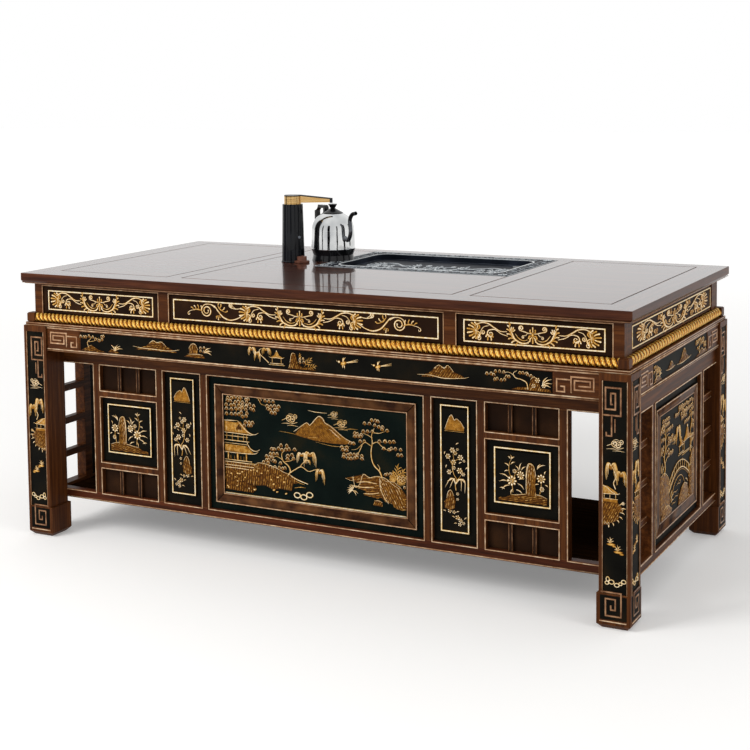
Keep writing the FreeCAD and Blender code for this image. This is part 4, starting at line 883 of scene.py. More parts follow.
for name, reach, post, drawn in (("front", 705, 819, front_landscape), ("rear", 705, 819, front_landscape),
                                 ("right", 255, 369, end_landscape), ("left", 255, 369, end_landscape)):
    place = middle_of(name, *APRON_GROUND)
    ground_plate("apron_ground_" + name, place, name, (-reach + CLEAR, APRON_LOW + CLEAR),
                 (reach - CLEAR, APRON_HIGH - CLEAR))
    carve("apron_landscape_" + name, place, name, drawn)
    lining = Relief(middle_of(name, *APRON_FACE), name)
    for sign in (-1, 1):
        meander(lining, sign * (reach + 8), sign * (reach + 44), sign * (post - 14), FRET_LOW, FRET_HIGH)
    for level_z, wide, tone in ((APRON_HIGH + 4, 4.5, 0.85), (APRON_LOW - 1.5, 3.6, 1.0), (542, 2.6, 0.7)):
        lining.band([(-post + 1, level_z), (post - 1, level_z)], wide, 1.4, tone)
    lining.make("apron_lining_" + name, **LINING)


# Legs: black lacquer fields in the two outer faces, from the fret at the top to the square fret on the foot.
# Each carries a cloud, a house under weeping trees on a crag, tufts on low rocks, and pebbles above the foot.
LEG_MIDDLE, LEG_GROUND, LEG_FACE = (858, 408), (895, 445), (897, 447)
LEG_FIELD = ((-29.2, 85.5), (29.2, 593.5))
FOOT_FIELD = {1: ((-36, 23), (30, 82)), -1: ((-30, 23), (36, 82))}
FIELD_DEEP = 2


def cloud(relief, x, y, size, tone):
    """A cloud of linked curls over a few drawn-out wisps."""
    k = size / 40
    curl(relief, [(x + 16 * k, y - 4 * k), (x + 6 * k, y - 7 * k), (x - 4 * k, y - 3 * k)], 6 * k, -1,
         2.6 * k, 1.5, 1.3, tone)
    curl(relief, [(x - 17 * k, y - 3 * k), (x - 8 * k, y + 1 * k), (x + 2 * k, y + 6 * k)], 6.5 * k, -1,
         2.6 * k, 1.5, 1.3, tone)
    curl(relief, [(x - 4 * k, y - 4 * k), (x + 6 * k, y + 1 * k), (x + 12 * k, y + 2 * k)], 4.6 * k, 1,
         2.2 * k, 1.4, 1.1, tone)
    for low, first, last in ((-9, -18, 6), (-12, -6, 18), (9, -4, 8)):
        relief.stroke([(x + first * k, y + low * k), (x + (first + last) / 2 * k, y + (low + 1.2) * k),
                       (x + last * k, y + low * k)], (0.7, 1.8 * k, 0.7), 1.2, tone)


def ring(relief, x, y, wide, high, thick):
    """A pebble shown as a rounded ring."""
    middle, rings = Vector((x, y)), []
    for here in (Vector(p) for p in oval(x, y, wide, high, sides=12)):
        out = (here - middle).normalized() * thick / 2
        # The tone is painted shade at the ring's foot and a painted highlight on its crest.
        rings.append([(here.x - out.x * k, here.y - out.y * k, 1.7 * h if h else SUNK, 0.2 + 0.8 * h)
                      for k, h in ((1, 0), (0.6, 0.8), (0, 1), (-0.6, 0.8), (-1, 0))])
    relief.skin(rings, looped=True)


def leg_scene(r):
    """The gilt work of one leg face, across from the leg's middle and up from the floor."""
    cloud(r, 1, 443, 50, 1.05)
    weeping(r, -9, 398, 32, 52, 41, 9)
    weeping(r, 15, 380, 28, 44, 42, 7)
    r.stroke([(2, 338), (-3, 352), (2, 366), (-2, 382), (-8, 392)], (3.4, 3.0, 1.6), 2.2)
    roof = [(-29, 326), (9, 327), (2, 333), (-18, 344), (-29, 345)]
    r.plate(roof, 1.8, 0.65)
    hatch(r, roof, 100, 3.4, 43, 1.2, 1.6, 0.9)
    r.stroke([(-29, 345), (-19, 341), (-8, 332), (4, 327), (13, 329)], (2.4, 3.0, 1.2), 1.4, 1.0, 1.4)
    r.stroke([(-29, 325), (-10, 326), (9, 326)], (2.6, 2.6, 1.2), 2.0)
    for post in (-26, -12, 2):
        r.stroke([(post, 314), (post, 326)], 2.0, 1.7, 0.9)
    r.plate([(-29, 306), (7, 306), (6, 314), (-29, 314)], 1.5, 0.55)
    r.stroke([(-29, 314), (8, 314)], 1.8, 2.1)
    crag = [(-29, 248), (-20, 252), (-10, 256), (4, 262), (12, 272), (10, 282), (22, 290), (14, 300),
            (8, 306), (-29, 306)]
    rock(r, crag, 62, 44, 3.6, 1.5, 0.68, 0)
    for x, y, turn, long in ((10, 300, 22, 17), (14, 292, 4, 14), (12, 284, -18, 13), (10, 274, -34, 11),
                             (4, 266, -48, 10), (-6, 258, -70, 9), (-16, 252, -84, 8)):
        leaf(r, x, y, long, 4.2, turn, 1.8)
    blossom(r, 20, 306, 9)
    clumps(r, [(-18, 254, 8, 4)], 6.5, 5, 45)
    for x, y, wide in ((-9, 205, 24), (9, 188, 26)):
        r.mound(oval(x, y, wide, 7.5), 1.8, 0.8)
        r.mound(oval(x + wide * 0.3, y - 4, wide * 0.5, 5), 1.5, 0.7)
        for turn, long in ((32, 11), (62, 14), (96, 15), (128, 13), (156, 9)):
            leaf(r, x - 2, y + 3, long, 3.4, turn, 1.6, 0.95)
    for x, y, wide, high in ((-17, 121, 8, 11), (-19, 112, 9, 8), (-8, 115, 13, 10), (5, 109, 12, 9),
                             (14, 113, 8, 7), (22, 119, 11, 9)):
        ring(r, x, y, wide, high, 3.2)


def leg_lining(lining):
    """The copper lines of one leg face: the field's edges, the tall fret and the square fret on the foot."""
    for edge in (-30, 30):
        lining.band([(edge, 86), (edge, 593)], 2.2, 1.2 + FIELD_DEEP, 0.85)
    lining.band([(-29, 512), (14, 512), (14, 577), (-23, 577), (-23, 526), (1, 526), (1, 564), (-10, 564),
                 (-10, 538), (-5, 538)], 4.6, FIELD_DEEP + 0.2, 0.66)
    lining.band([(-8, 512), (-8, 463), (-21, 463), (-21, 472)], 4.2, FIELD_DEEP + 0.2, 0.66)
    lining.band([(0, 504), (0, 472)], 3.4, FIELD_DEEP, 0.7)


def foot_lining(lining):
    """The copper lines of one face of a foot."""
    lining.band([(-34, 90), (16, 90), (16, 33), (-22, 33), (-22, 74), (2, 74), (2, 48), (-9, 48), (-9, 59)],
                4.2, 1.5, 0.68)
    lining.band([(-37, 19), (29, 19)], 3.4, 1.5, 1.0)


for side, sign_x, sign_y in (("front", -1, -1), ("front", 1, -1), ("rear", 1, 1), ("rear", -1, 1),
                             ("right", 1, -1), ("right", 1, 1), ("left", -1, -1), ("left", -1, 1)):
    long_side = side in ("front", "rear")
    name = "leg_%s_%s_%s" % ("front" if sign_y < 0 else "rear", "left" if sign_x < 0 else "right",
                             "face" if long_side else "flank")
    ground, face = ((sign_x * (LEG_MIDDLE[0] if long_side else out_x),
                     sign_y * (out_y if long_side else LEG_MIDDLE[1]),
                     0) for out_x, out_y in (LEG_GROUND, LEG_FACE))
    outward = (sign_x if long_side else sign_y) * (1 if side in ("front", "right") else -1)
    ground_plate(name + "_ground", ground, side, *LEG_FIELD)
    ground_plate(name + "_foot_ground", face, side, *FOOT_FIELD[outward])
    carve(name + "_carving", ground, side, leg_scene, stretch=(outward, 1))
    carve(name + "_lining", ground, side, leg_lining, stretch=(outward, 1), **LINING)
    carve(name + "_foot_lining", face, side, foot_lining, stretch=(outward, 1), **LINING)


# Front screen: lacquer panels with gilt frames, a lake landscape in the middle, and lattices.
# Every opening and panel is edged with a pale copper line on the brown stiles and rails.
PICTURE_Y, SCREEN_Y, BAR_Y = -365, -369, -364
EDGE_OUT, BAR_HALF = 2.4, 4.2
FOOT_LINE, CELL_LOW, LATTICE_LOW, LATTICE_HIGH, CELL_HIGH = 103, 125, 196, 424, 495
LATTICE_X, LATTICE_WIDE = 499, 191


def lake_shores(r):
    """The left shore with its pavilion, the right shore, and the mountain between them."""
    left_shore = [(-277, 184), (-190, 182), (-178, 192), (-182, 204), (-150, 208), (-128, 200), (-100, 204),
                  (-66, 202), (-62, 222), (-46, 226), (-54, 236), (-70, 246), (-92, 252), (-120, 262),
                  (-150, 268), (-172, 268), (-186, 262), (-277, 262)]
    rock(r, left_shore, 82, 51, 5.0, 1.5, 0.6)
    chance = random.Random(52)
    for _ in range(26):
        x, y = chance.uniform(-272, -80), chance.uniform(190, 250)
        r.mound(oval(x, y, chance.uniform(6, 11), chance.uniform(4, 7), chance.uniform(-30, 30), 8), 2.4,
                0.85)
    r.stroke([(-68, 243), (-44, 234), (-16, 227)], (4.5, 4.0, 3.0), 2.0)
    r.stroke([(-60, 234), (-44, 228), (-28, 224)], (2.0, 2.6, 1.2), 1.6, 0.8)
    r.stroke([(-58, 212), (-40, 216), (-24, 216)], (1.4, 3.0, 1.2), 1.6, 0.8)
    for level_y, end in ((262, -192), (253, -184), (246, -200)):
        r.stroke([(-277, level_y), ((end - 277) / 2, level_y + 0.6), (end, level_y)], 3.0, 2.6, 1.0)
    right_shore = [(97, 257), (120, 264), (150, 273), (168, 266), (182, 270), (200, 272), (216, 262),
                   (240, 262), (262, 246), (277, 228), (277, 192), (262, 188), (244, 196), (232, 208),
                   (214, 206), (204, 216), (180, 214), (150, 218), (158, 228), (126, 236), (140, 246),
                   (118, 252)]
    rock(r, right_shore, 12, 53, 4.6, 1.5, 0.62)
    for points in ([(112, 240), (146, 238), (182, 241)], [(134, 250), (160, 254), (190, 252)],
                   [(150, 222), (176, 224), (196, 229)]):
        r.stroke(points, (2.2, 4.2, 2.4), 2.2, 0.95)
    boulder = [(200, 270), (198, 244), (204, 224), (218, 206), (234, 204), (246, 192), (264, 190), (272, 206),
               (270, 226), (256, 246), (236, 256), (218, 268)]
    rock(r, boulder, -62, 54, 4.4, 2.1, 0.72)
    r.stroke([(200, 262), (202, 238), (212, 218), (224, 204)], (2.0, 3.6, 2.0), 2.8)
    rock(r, [(178, 194), (206, 193), (205, 204), (194, 208), (182, 206)], 60, 55)
    mountain = [(-56, 357), (-30, 352), (10, 346), (60, 344), (100, 346), (122, 353), (96, 363), (74, 378),
                (52, 392), (38, 399), (32, 408), (20, 414), (8, 404), (-6, 388), (-18, 393), (-30, 386),
                (-46, 370)]
    r.plate(mountain, 1.3, 0.42)
    hatch(r, [(-50, 360), (18, 350), (20, 411), (8, 402), (-6, 386), (-18, 390), (-30, 384)], 52, 4.6, 56,
          1.5, 1.2, 0.66)
    hatch(r, [(20, 348), (116, 354), (96, 362), (52, 390), (36, 397), (22, 410)], -38, 4.4, 57, 1.5, 1.2,
          0.66)
    r.stroke([(-58, 365), (-40, 378), (-18, 393), (-8, 387), (8, 404), (20, 414), (32, 408), (38, 398),
              (56, 390), (76, 376), (98, 362), (122, 353)], (2.2, 3.4, 2.0), 2.4, fine=3)
    for x, y in ((50, 382), (58, 376), (66, 370)):
        r.stroke([(x, y), (x + 9, y - 4), (x + 18, y - 11)], (1.6, 2.6, 1.2), 2.2)
    for points, wide in (([(-20, 353), (0, 355), (22, 357)], 3.4),
                         ([(-104, 362), (-70, 360), (-40, 356)], 1.8),
                         ([(8, 344), (60, 338), (112, 342)], 1.8),
                         ([(96, 385), (114, 389), (136, 389)], 2.4)):
        r.stroke(points, (0.8, wide, 0.8), 1.5, 0.8)


def lake_pavilion(r):
    """The two-storeyed pavilion at the left edge, with tiled roofs and upswept eaves."""
    upper = [(-277, 345), (-196, 345), (-206, 356), (-226, 376), (-240, 372), (-277, 374)]
    lower = [(-277, 291), (-182, 291), (-196, 302), (-206, 310), (-277, 310)]
    for outline in (upper, lower):
        r.plate(outline, 2.0, 0.62)
        hatch(r, outline, 88, 4.2, 61, 1.6, 1.9, 0.85)
    r.mound([(-246, 351), (-214, 351), (-222, 362), (-230, 374)], 2.6, 0.22)
    for points in ([(-234, 378), (-220, 366), (-206, 353), (-190, 345), (-178, 345), (-168, 350)],
                   [(-277, 343), (-240, 343), (-196, 342), (-184, 344)],
                   [(-206, 324), (-200, 312), (-190, 302), (-176, 299), (-164, 305)],
                   [(-277, 289), (-230, 289), (-184, 291), (-170, 297)],
                   [(-277, 376), (-256, 377), (-234, 378)]):
        r.stroke(points, (2.2, 4.0, 1.4), 2.6, 1.0, 0.8)
    for level_y, end, wide in ((334, -202, 3.0), (322, -198, 3.6), (314, -200, 2.2), (268, -190, 3.6)):
        r.stroke([(-277, level_y), (end, level_y)], wide, 2.2, 0.95)
    for post in (-270, -252, -234, -216, -206):
        r.stroke([(post, 322), (post, 340)], 2.6, 1.8, 0.75)
    for post, wide in ((-266, 6), (-236, 8), (-208, 6)):
        r.stroke([(post, 268), (post, 289)], wide, 2.0, 0.8)
    for post in (-258, -246, -226, -216):
        r.stroke([(post, 268), (post, 280)], 1.8, 1.5, 0.7)
    for step in range(3):
        r.stroke([(-196 + step * 8, 264 - step * 5), (-180 + step * 8, 263 - step * 5)], 2.2, 1.8, 0.85)


def lake_trees(r):
    """The trees of the lake view, clouds over the mountain, rings in the water, and a line along the foot."""
    clumps(r, [(-232, 444, 42, 9), (-236, 424, 40, 10), (-248, 402, 26, 12), (-200, 418, 26, 12),
               (-212, 396, 14, 8), (-166, 448, 20, 5), (-140, 440, 26, 6), (-122, 422, 22, 8),
               (-122, 408, 10, 4), (-200, 372, 16, 9)],
          12, 7, 62)
    r.stroke([(-222, 452), (-224, 434), (-232, 416), (-240, 398)], (3.0, 2.6, 1.4), 1.6, 0.7)
    r.stroke([(-184, 452), (-168, 444), (-158, 430), (-140, 428)], (2.4, 2.2, 1.2), 1.6, 0.85)
    r.stroke([(-78, 244), (-70, 256), (-76, 270), (-92, 282), (-96, 300), (-86, 312)], (5.0, 4.4, 2.0), 2.4,
             0.9)
    r.stroke([(-92, 284), (-112, 292), (-126, 286)], (3.0, 2.4, 1.2), 2.0, 0.85)
    r.stroke([(-88, 280), (-66, 286), (-58, 296)], (3.0, 2.4, 1.2), 2.0, 0.85)
    clumps(r, [(-90, 324, 15, 7), (-112, 312, 22, 6), (-72, 314, 20, 6), (-122, 298, 16, 6),
               (-136, 284, 16, 8), (-70, 294, 15, 8), (-110, 276, 14, 7), (-146, 272, 14, 6),
               (-96, 262, 16, 7), (-124, 262, 14, 5)],
          12, 7, 63)
    r.stroke([(-74, 250), (-56, 262), (-36, 272), (-14, 262), (4, 268), (20, 272)], (4.2, 3.4, 1.8), 2.2,
             0.95)
    r.stroke([(-40, 272), (-30, 284), (-20, 292), (-10, 284)], (2.8, 2.4, 1.2), 2.0, 0.9)
    for x, y, wide, high, seed, strands in ((-35, 309, 34, 34, 64, 9), (-9, 313, 38, 42, 65, 10),
                                            (20, 270, 30, 42, 66, 9), (-18, 292, 20, 14, 67, 6)):
        weeping(r, x, y, wide, high, seed, strands)
    r.stroke([(206, 268), (198, 286), (184, 298), (176, 314), (174, 336), (178, 360), (176, 378), (184, 398)],
             (6.0, 4.4, 2.0), 2.6, 0.9)
    for points in ([(198, 286), (198, 296), (192, 304)], [(174, 350), (158, 358), (148, 352), (132, 338),
                                                          (116, 334)],
                   [(177, 356), (192, 362), (206, 352), (224, 344), (240, 350)],
                   [(178, 372), (164, 378), (150, 382)], [(182, 386), (198, 386), (214, 392)],
                   [(148, 350), (138, 330), (126, 316)]):
        r.stroke(points, (3.0, 2.4, 1.2), 2.0, 0.9)
    clumps(r, [(186, 416, 16, 4), (164, 406, 14, 6), (196, 404, 16, 6), (216, 396, 14, 5), (164, 386, 18, 5),
               (136, 374, 16, 8), (150, 358, 14, 5), (118, 350, 14, 6), (96, 334, 14, 8), (104, 316, 16, 8),
               (134, 318, 16, 8), (206, 366, 14, 5), (228, 366, 18, 6), (218, 346, 12, 5), (246, 350, 16, 6),
               (256, 334, 10, 5)], 11.5, 6.5, 68)
    cloud(r, -70, 397, 58, 0.95)
    cloud(r, 62, 421, 36, 0.95)
    cloud(r, 84, 398, 48, 0.9)
    r.stroke([(-14, 427), (10, 424), (44, 424)], (1.0, 3.0, 1.2), 1.6)
    for x, y in ((-50, 193), (-30, 190), (-12, 198)):
        ring(r, x, y, 19, 14, 4.4)
    for turn, long in ((150, 18), (128, 24), (104, 30), (80, 46), (56, 44), (34, 36), (12, 26)):
        sprig(r, 244, 258, long, turn, 4, 4.2)
    clumps(r, [(222, 280, 12, 6), (262, 272, 10, 8), (270, 252, 6, 6)], 9, 6, 69)
    for turn in (158, 184, 205, 225, 130, 100, 60, -20, -50):
        leaf(r, 118, 226, 17, 4, turn)
    r.band([(-278, 174.5), (278, 174.5)], 4.6, 2.6)


def narrow_scene(r):
    """A narrow panel's picture: a far peak, a blossoming branch, a rock and small flowers."""
    peak = [(-26, 415), (26, 415), (27, 424), (18, 438), (6, 446), (0, 442), (-7, 455), (-14, 448),
            (-20, 434)]
    r.plate(peak, 1.4, 0.55)
    hatch(r, [(-25, 416), (-6, 416), (-7, 453), (-14, 446), (-20, 433)], 64, 3.4, 71, 1.3, 1.3, 0.72)
    hatch(r, [(-5, 416), (26, 416), (17, 436), (6, 443), (0, 440), (-6, 451)], -50, 3.4, 72, 1.3, 1.3, 0.72)
    r.stroke([(-26, 418), (-20, 434), (-14, 448), (-7, 455), (0, 442), (6, 446), (18, 438), (27, 424)],
             (1.6, 2.6, 1.6), 2.2, fine=3)
    r.stroke([(-27, 413), (27, 413)], (1.6, 2.6, 1.6), 1.8, 0.8)
    r.stroke([(4, 262), (2, 276), (6, 290), (-2, 304), (-6, 322), (-2, 340), (-4, 356)], (3.4, 2.6, 1.4), 2.0,
             0.85)
    for points in ([(5, 288), (16, 300), (22, 312)], [(-4, 312), (-14, 306)],
                   [(-4, 334), (8, 342), (20, 344)], [(-6, 326), (-16, 344)]):
        r.stroke(points, (2.0, 1.6, 1.0), 1.8, 0.85)
    for x, y, size in ((-6, 365, 15), (2, 358, 12), (-18, 348, 15), (16, 348, 16), (-3, 334, 15),
                       (-15, 308, 14), (14, 314, 17), (24, 306, 11), (-2, 320, 11), (8, 368, 8),
                       (26, 340, 8)):
        blossom(r, x, y, size)
    for x, y in ((-28, 352), (4, 380), (30, 320), (-24, 318), (12, 332)):
        leaf(r, x, y, 9, 4, 70 if x < 0 else 30)
    for tip_x, tip_y, bend in ((-26, 268, -14), (-14, 266, -6), (18, 262, 12), (28, 258, 20), (26, 284, 18),
                               (-20, 284, -12)):
        r.stroke([(3, 278), (3 + bend * 0.6, 292), (3 + bend * 1.25, 288), (tip_x, tip_y)], (1.6, 4.4, 1.2),
                 1.9)
    boulder = [(-28, 214), (-12, 210), (0, 216), (2, 234), (-2, 248), (-10, 262), (-18, 256), (-22, 240),
               (-28, 232)]
    rock(r, boulder, 80, 73, 3.6, 1.8, 0.66)
    for x, y, size in ((8, 254, 9), (8, 240, 8), (-14, 208, 12), (-2, 206, 10), (8, 193, 14), (16, 186, 12),
                       (14, 176, 11), (24, 180, 9)):
        blossom(r, x, y, size, 5)
    for x, y, turn in ((-24, 206, 170), (4, 206, 20), (0, 192, 160), (26, 190, 40), (6, 178, 190)):
        leaf(r, x, y, 9, 3.6, turn)


def square_scene(r):
    """A square panel's picture: a standing rock among peonies on hatched ground."""
    ground = [(-64, 253), (66, 253), (66, 270), (44, 277), (14, 276), (-10, 272), (-30, 270), (-44, 262),
              (-64, 259)]
    rock(r, ground, 14, 81, 3.8, 1.4, 0.62)
    stone = [(9, 272), (38, 272), (35, 300), (37, 322), (33, 342), (27, 352), (18, 353), (13, 342), (10, 318),
             (12, 298)]
    rock(r, stone, 84, 82, 3.8, 2.2, 0.72)
    r.stroke([(12, 276), (11, 300), (13, 330), (18, 350), (26, 352)], (2.2, 3.0, 2.0), 2.9)
    for points in ([(-24, 276), (-26, 300), (-18, 322), (-12, 334)],
                   [(-22, 300), (-34, 326), (-34, 346), (-29, 358)], [(46, 278), (50, 298), (50, 312)]):
        r.stroke(points, (2.6, 2.2, 1.4), 1.8, 0.85)
    for x, y, size in ((-27, 305, 28), (-4, 322, 22), (50, 318, 25), (52, 292, 14), (-20, 330, 12)):
        blossom(r, x, y, size, 8)
    for x, y, turn, long in ((-34, 310, 160, 28), (-36, 302, 185, 26), (-32, 294, 212, 26),
                             (-24, 286, 250, 18), (-34, 340, 150, 15), (-30, 346, 30, 14),
                             (-36, 330, 200, 12), (-29, 358, 95, 12), (-27, 360, 40, 9), (-31, 360, 140, 9),
                             (-6, 334, 75, 20), (-8, 332, 130, 16), (-2, 334, 40, 16), (-12, 300, -40, 22),
                             (-8, 310, 10, 14), (-16, 284, -30, 20), (40, 340, 60, 18), (40, 342, 28, 24),
                             (58, 330, 60, 10), (44, 304, 200, 12), (60, 304, -30, 9), (-46, 282, 170, 14)):
        leaf(r, x, y, long, 4.6, turn)


def mitred_boards(name, place, side, outer, inner):
    """Four flat boards mitred round a picture, from their outer and inner half width, foot and head."""
    (out_x, out_low, out_high), (in_x, in_low, in_high) = outer, inner
    rails = ([(-out_x, out_low), (out_x, out_low), (in_x, in_low), (-in_x, in_low)],
             [(-in_x, in_high), (in_x, in_high), (out_x, out_high), (-out_x, out_high)])
    stiles = ([(-out_x, out_low), (-in_x, in_low), (-in_x, in_high), (-out_x, out_high)],
              [(in_x, in_low), (out_x, out_low), (out_x, out_high), (in_x, in_high)])
    for kind, outlines, grain in (("rails", rails, "x" if side == "front" else "y"), ("stiles", stiles, "z")):
        boards = Relief(place, side)
        for outline in outlines:
            boards.plate(outline, 0.8, 0)
        boards.make("%s_%s" % (name, kind), dark_satin[grain], slot="rosewood")


def board_lines(name, place, side, outer, inner):
    """The two copper lines on such boards."""
    lines = Relief(place, side)
    for (reach, low, high), wide, rise, tone in ((outer, 3.2, 2.0, 0.9), (inner, 2.6, 1.6, 0.8)):
        lines.frame((-reach, low), (reach, high), wide, rise, tone)
    lines.make(name + "_lines", **LINING)


finish_nodes(green_lacquer, "big_panel")
finish_nodes(lacquer, "narrow_panel_left", "narrow_panel_right", "square_panel_left", "square_panel_right")
finish_nodes(brown_lacquer, "lattice_boards")
# The lattice bars are darker as painted shade, in the shadow of their recess.
finish_nodes(satin_rosewood("z", SHADED_BROWN), "lattice_bars")
big_frame = ("big_frame", (0, PICTURE_Y, 0), "front", (304, 147, 473), (279, 172, 448))
mitred_boards(*big_frame)
carve("lake_landscape", (0, PICTURE_Y + 4, 0), "front", lake_shores, lake_pavilion, lake_trees)
board_lines(*big_frame)
for name, sign in (("left", -1), ("right", 1)):
    for which, middle, drawn, low, high, half in (("narrow", 412.5, narrow_scene, 155, 478, 37.5),
                                                  ("square", 594.5, square_scene, 247, 385, 73)):
        picture = Relief((sign * middle, PICTURE_Y, 0), "front").at(0, 0, stretch=(sign, 1))
        picture.frame((-half, low), (half, high), 4.0, 1.8, 0.97)
        drawn(picture)
        picture.make("%s_picture_%s" % (which, name), gilt)

edges = Relief((0, SCREEN_Y, 0), "front")
edges.frame((-326, CELL_LOW), (326, CELL_HIGH), 2.8, 1.6, 0.95, EDGE_OUT)
for half in edges.halves():
    for low_x, low_z, high_x, high_z in ((352, CELL_LOW, 473, CELL_HIGH), (LATTICE_X, 217, 690, 403),
                                         (LATTICE_X, CELL_LOW, 690, LATTICE_LOW),
                                         (LATTICE_X, LATTICE_HIGH, 690, CELL_HIGH),
                                         (716, CELL_LOW, 818, CELL_HIGH)):
        half.frame((low_x, low_z), (high_x, high_z), 2.8, 1.6, 0.95, EDGE_OUT)
edges.band([(-818, FOOT_LINE), (818, FOOT_LINE)], 3.2, 1.8, 0.9)
edges.make("screen_edges", **LINING)
bars = Relief((0, BAR_Y, 0), "front")
for half in bars.halves():
    for low_z, high_z in ((CELL_LOW, LATTICE_LOW), (LATTICE_HIGH, CELL_HIGH)):
        for x in (LATTICE_X + LATTICE_WIDE / 3, LATTICE_X + LATTICE_WIDE * 2 / 3):
            for line_x in (x - BAR_HALF, x + BAR_HALF):
                half.band([(line_x, low_z), (line_x, high_z)], 2.0, 1.2, 0.6)
bars.make("lattice_bar_lines", **LINING)


# Rope moulding: a gilt twisted rope with brown mitre blocks, on a brown fillet with a thin bead below it.
# It stands for the plain round moulding of the solids, and keeps inside it.
ROPE_X, ROPE_Y, ROPE_Z, ROPE_THICK = 876.5, 426.5, 632.5, 12.8
STRANDS, FRONT_PITCH, END_PITCH, NOTCHES, NOTCH_TURN = 2, 14.0, 22.0, 4, 1.16
ROPE_SIDES, ROPE_STEP, ROPE_PATCH_MM = 28, 1.8, 6.67
BLOCK_HALF, BLOCK_LOW, BLOCK_HIGH = 13, 619.2, 645.8
FILLET_OUT, FILLET_IN, FILLET_LOW, FILLET_HIGH = (892.6, 442.6), (874, 424), 610.2, 619.4


def rope_run(relief, middle, low, high, along_y, pitch):
    """One straight run of rope: round notched strands that wind about a middle line, closed at both ends."""
    steps = int((high - low) / ROPE_STEP)
    twist = math.tau / (pitch * STRANDS) * (-1 if along_y else 1)
    rings = []
    for step in range(steps + 1):
        place = low + (high - low) * step / steps
        points = []
        for k in range(ROPE_SIDES):
            angle = math.tau * k / ROPE_SIDES
            swell = abs(math.cos((angle - place * twist) * STRANDS / 2))
            notch = math.sin(place * NOTCH_TURN + angle * NOTCHES)
            reach = ROPE_THICK * (0.7 + 0.3 * swell ** 0.6) * (0.95 + 0.05 * notch)
            aside, z = reach * math.cos(angle), ROPE_Z + reach * math.sin(angle)
            x, y = (middle - aside, place) if along_y else (place, middle + aside)
            # The tone is painted shade where the strands meet and a painted highlight on their swell and
            # notches.
            points.append((x, y, z, 0.04 + 0.72 * swell + 0.3 * notch * swell))
        rings.append(points)
    relief.skin(rings)


def box(relief, low, high, cut):
    """An upright block with softened top and bottom edges."""
    relief.skin([[(low[0] + inset, low[1] + inset, z, 0.5), (high[0] - inset, low[1] + inset, z, 0.5),
                  (high[0] - inset, high[1] - inset, z, 0.5), (low[0] + inset, high[1] - inset, z, 0.5)]
                 for inset, z in ((cut, low[2]), (0, low[2] + cut), (0, high[2] - cut), (cut, high[2]))])


def level_lines(relief, face, reach, levels, wide, rise, tone):
    """Level lines round all four sides."""
    for side in ("front", "rear", "right", "left"):
        long = reach[0] if side in ("front", "rear") else reach[1]
        for level_z in levels:
            relief.onto(middle_of(side, *face), side).band([(-long, level_z), (long, level_z)], wide, rise,
                                                           tone)


# Bright gilding on the rope: yellow gold with a painted highlight on the strands, and dark brown painted
# shade between them.
yellow_gold = relief_finish("bright_rope_gold", {"Scale": pattern(ROPE_PATCH_MM), "Detail": 3.0,
                                                 "Roughness": 0.7}, (-0.2, 0.24),
                            [(0.08, "#2a1404"), (0.32, "#8f4f0a"), (0.58, "#e4971a"), (0.85, "#ffdc7c")],
                            {"Metallic": 0.5, "Roughness": 0.24, "Specular IOR Level": 0.4})
rope, blocks, fillet, bead = (Relief((0, 0, 0), "top") for _ in range(4))
for sign in (-1, 1):
    rope_run(rope, sign * ROPE_Y, BLOCK_HALF - ROPE_X, ROPE_X - BLOCK_HALF, False, FRONT_PITCH)
    rope_run(rope, sign * ROPE_X, BLOCK_HALF - ROPE_Y, ROPE_Y - BLOCK_HALF, True, END_PITCH)
    for x, y in ((sign * ROPE_X, -ROPE_Y), (sign * ROPE_X, ROPE_Y)):
        box(blocks, (x - BLOCK_HALF, y - BLOCK_HALF, BLOCK_LOW), (x + BLOCK_HALF, y + BLOCK_HALF, BLOCK_HIGH),
            3.0)
    low, high = sorted((sign * FILLET_IN[1], sign * FILLET_OUT[1]))
    box(fillet, (-FILLET_OUT[0], low, FILLET_LOW), (FILLET_OUT[0], high, FILLET_HIGH), 1.0)
    low, high = sorted((sign * FILLET_IN[0], sign * FILLET_OUT[0]))
    box(fillet, (low, -FILLET_IN[1] + 0.1, FILLET_LOW), (high, FILLET_IN[1] - 0.1, FILLET_HIGH), 1.0)
level_lines(bead, FILLET_OUT, FILLET_OUT, (617.6, 611.6), 2.4, 0.39, 0.9)
strands = rope.make("rope_strands", yellow_gold)
mitres = blocks.make("rope_corner_blocks", satin["z"], slot="rosewood")
strip = fillet.make("rope_fillet", satin["x"], slot="rosewood")
for piece in (strands, mitres, strip, bead.make("rope_bead", **LINING)):
    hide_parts("rope_moulding")
for piece in (mitres, strip):
    piece.data.shade_flat()


# Waist ends and rear: copper lines round the windows and drawers, and gilt scrollwork.
# The ends carry the short boards' scrolls, drawn out to their length, with shells of leaves between them.
WINDOWS, WINDOW_LOW, WINDOW_HIGH = ((-845.6, -444.4), (-410.6, 410.6), (444.4, 845.6)), 641.2, 723.8


def frieze(relief):
    """The drawn-out scrollwork of an end."""
    relief.bold = FRIEZE_BOLD
    short_scrollwork(relief)
    for half in relief.halves():
        for x, y, long, first, last in ((22, 12, 13, 20, 160), (40, -2, 11, -100, 10), (72, 12, 12, 30, 150),
                                        (88, -10, 14, -150, -40), (124, -12, 13, -160, -60),
                                        (104, 2, 11, 130, 20)):
            fan(half, x, y, long, first, last, 4, 4.2, 0.85)


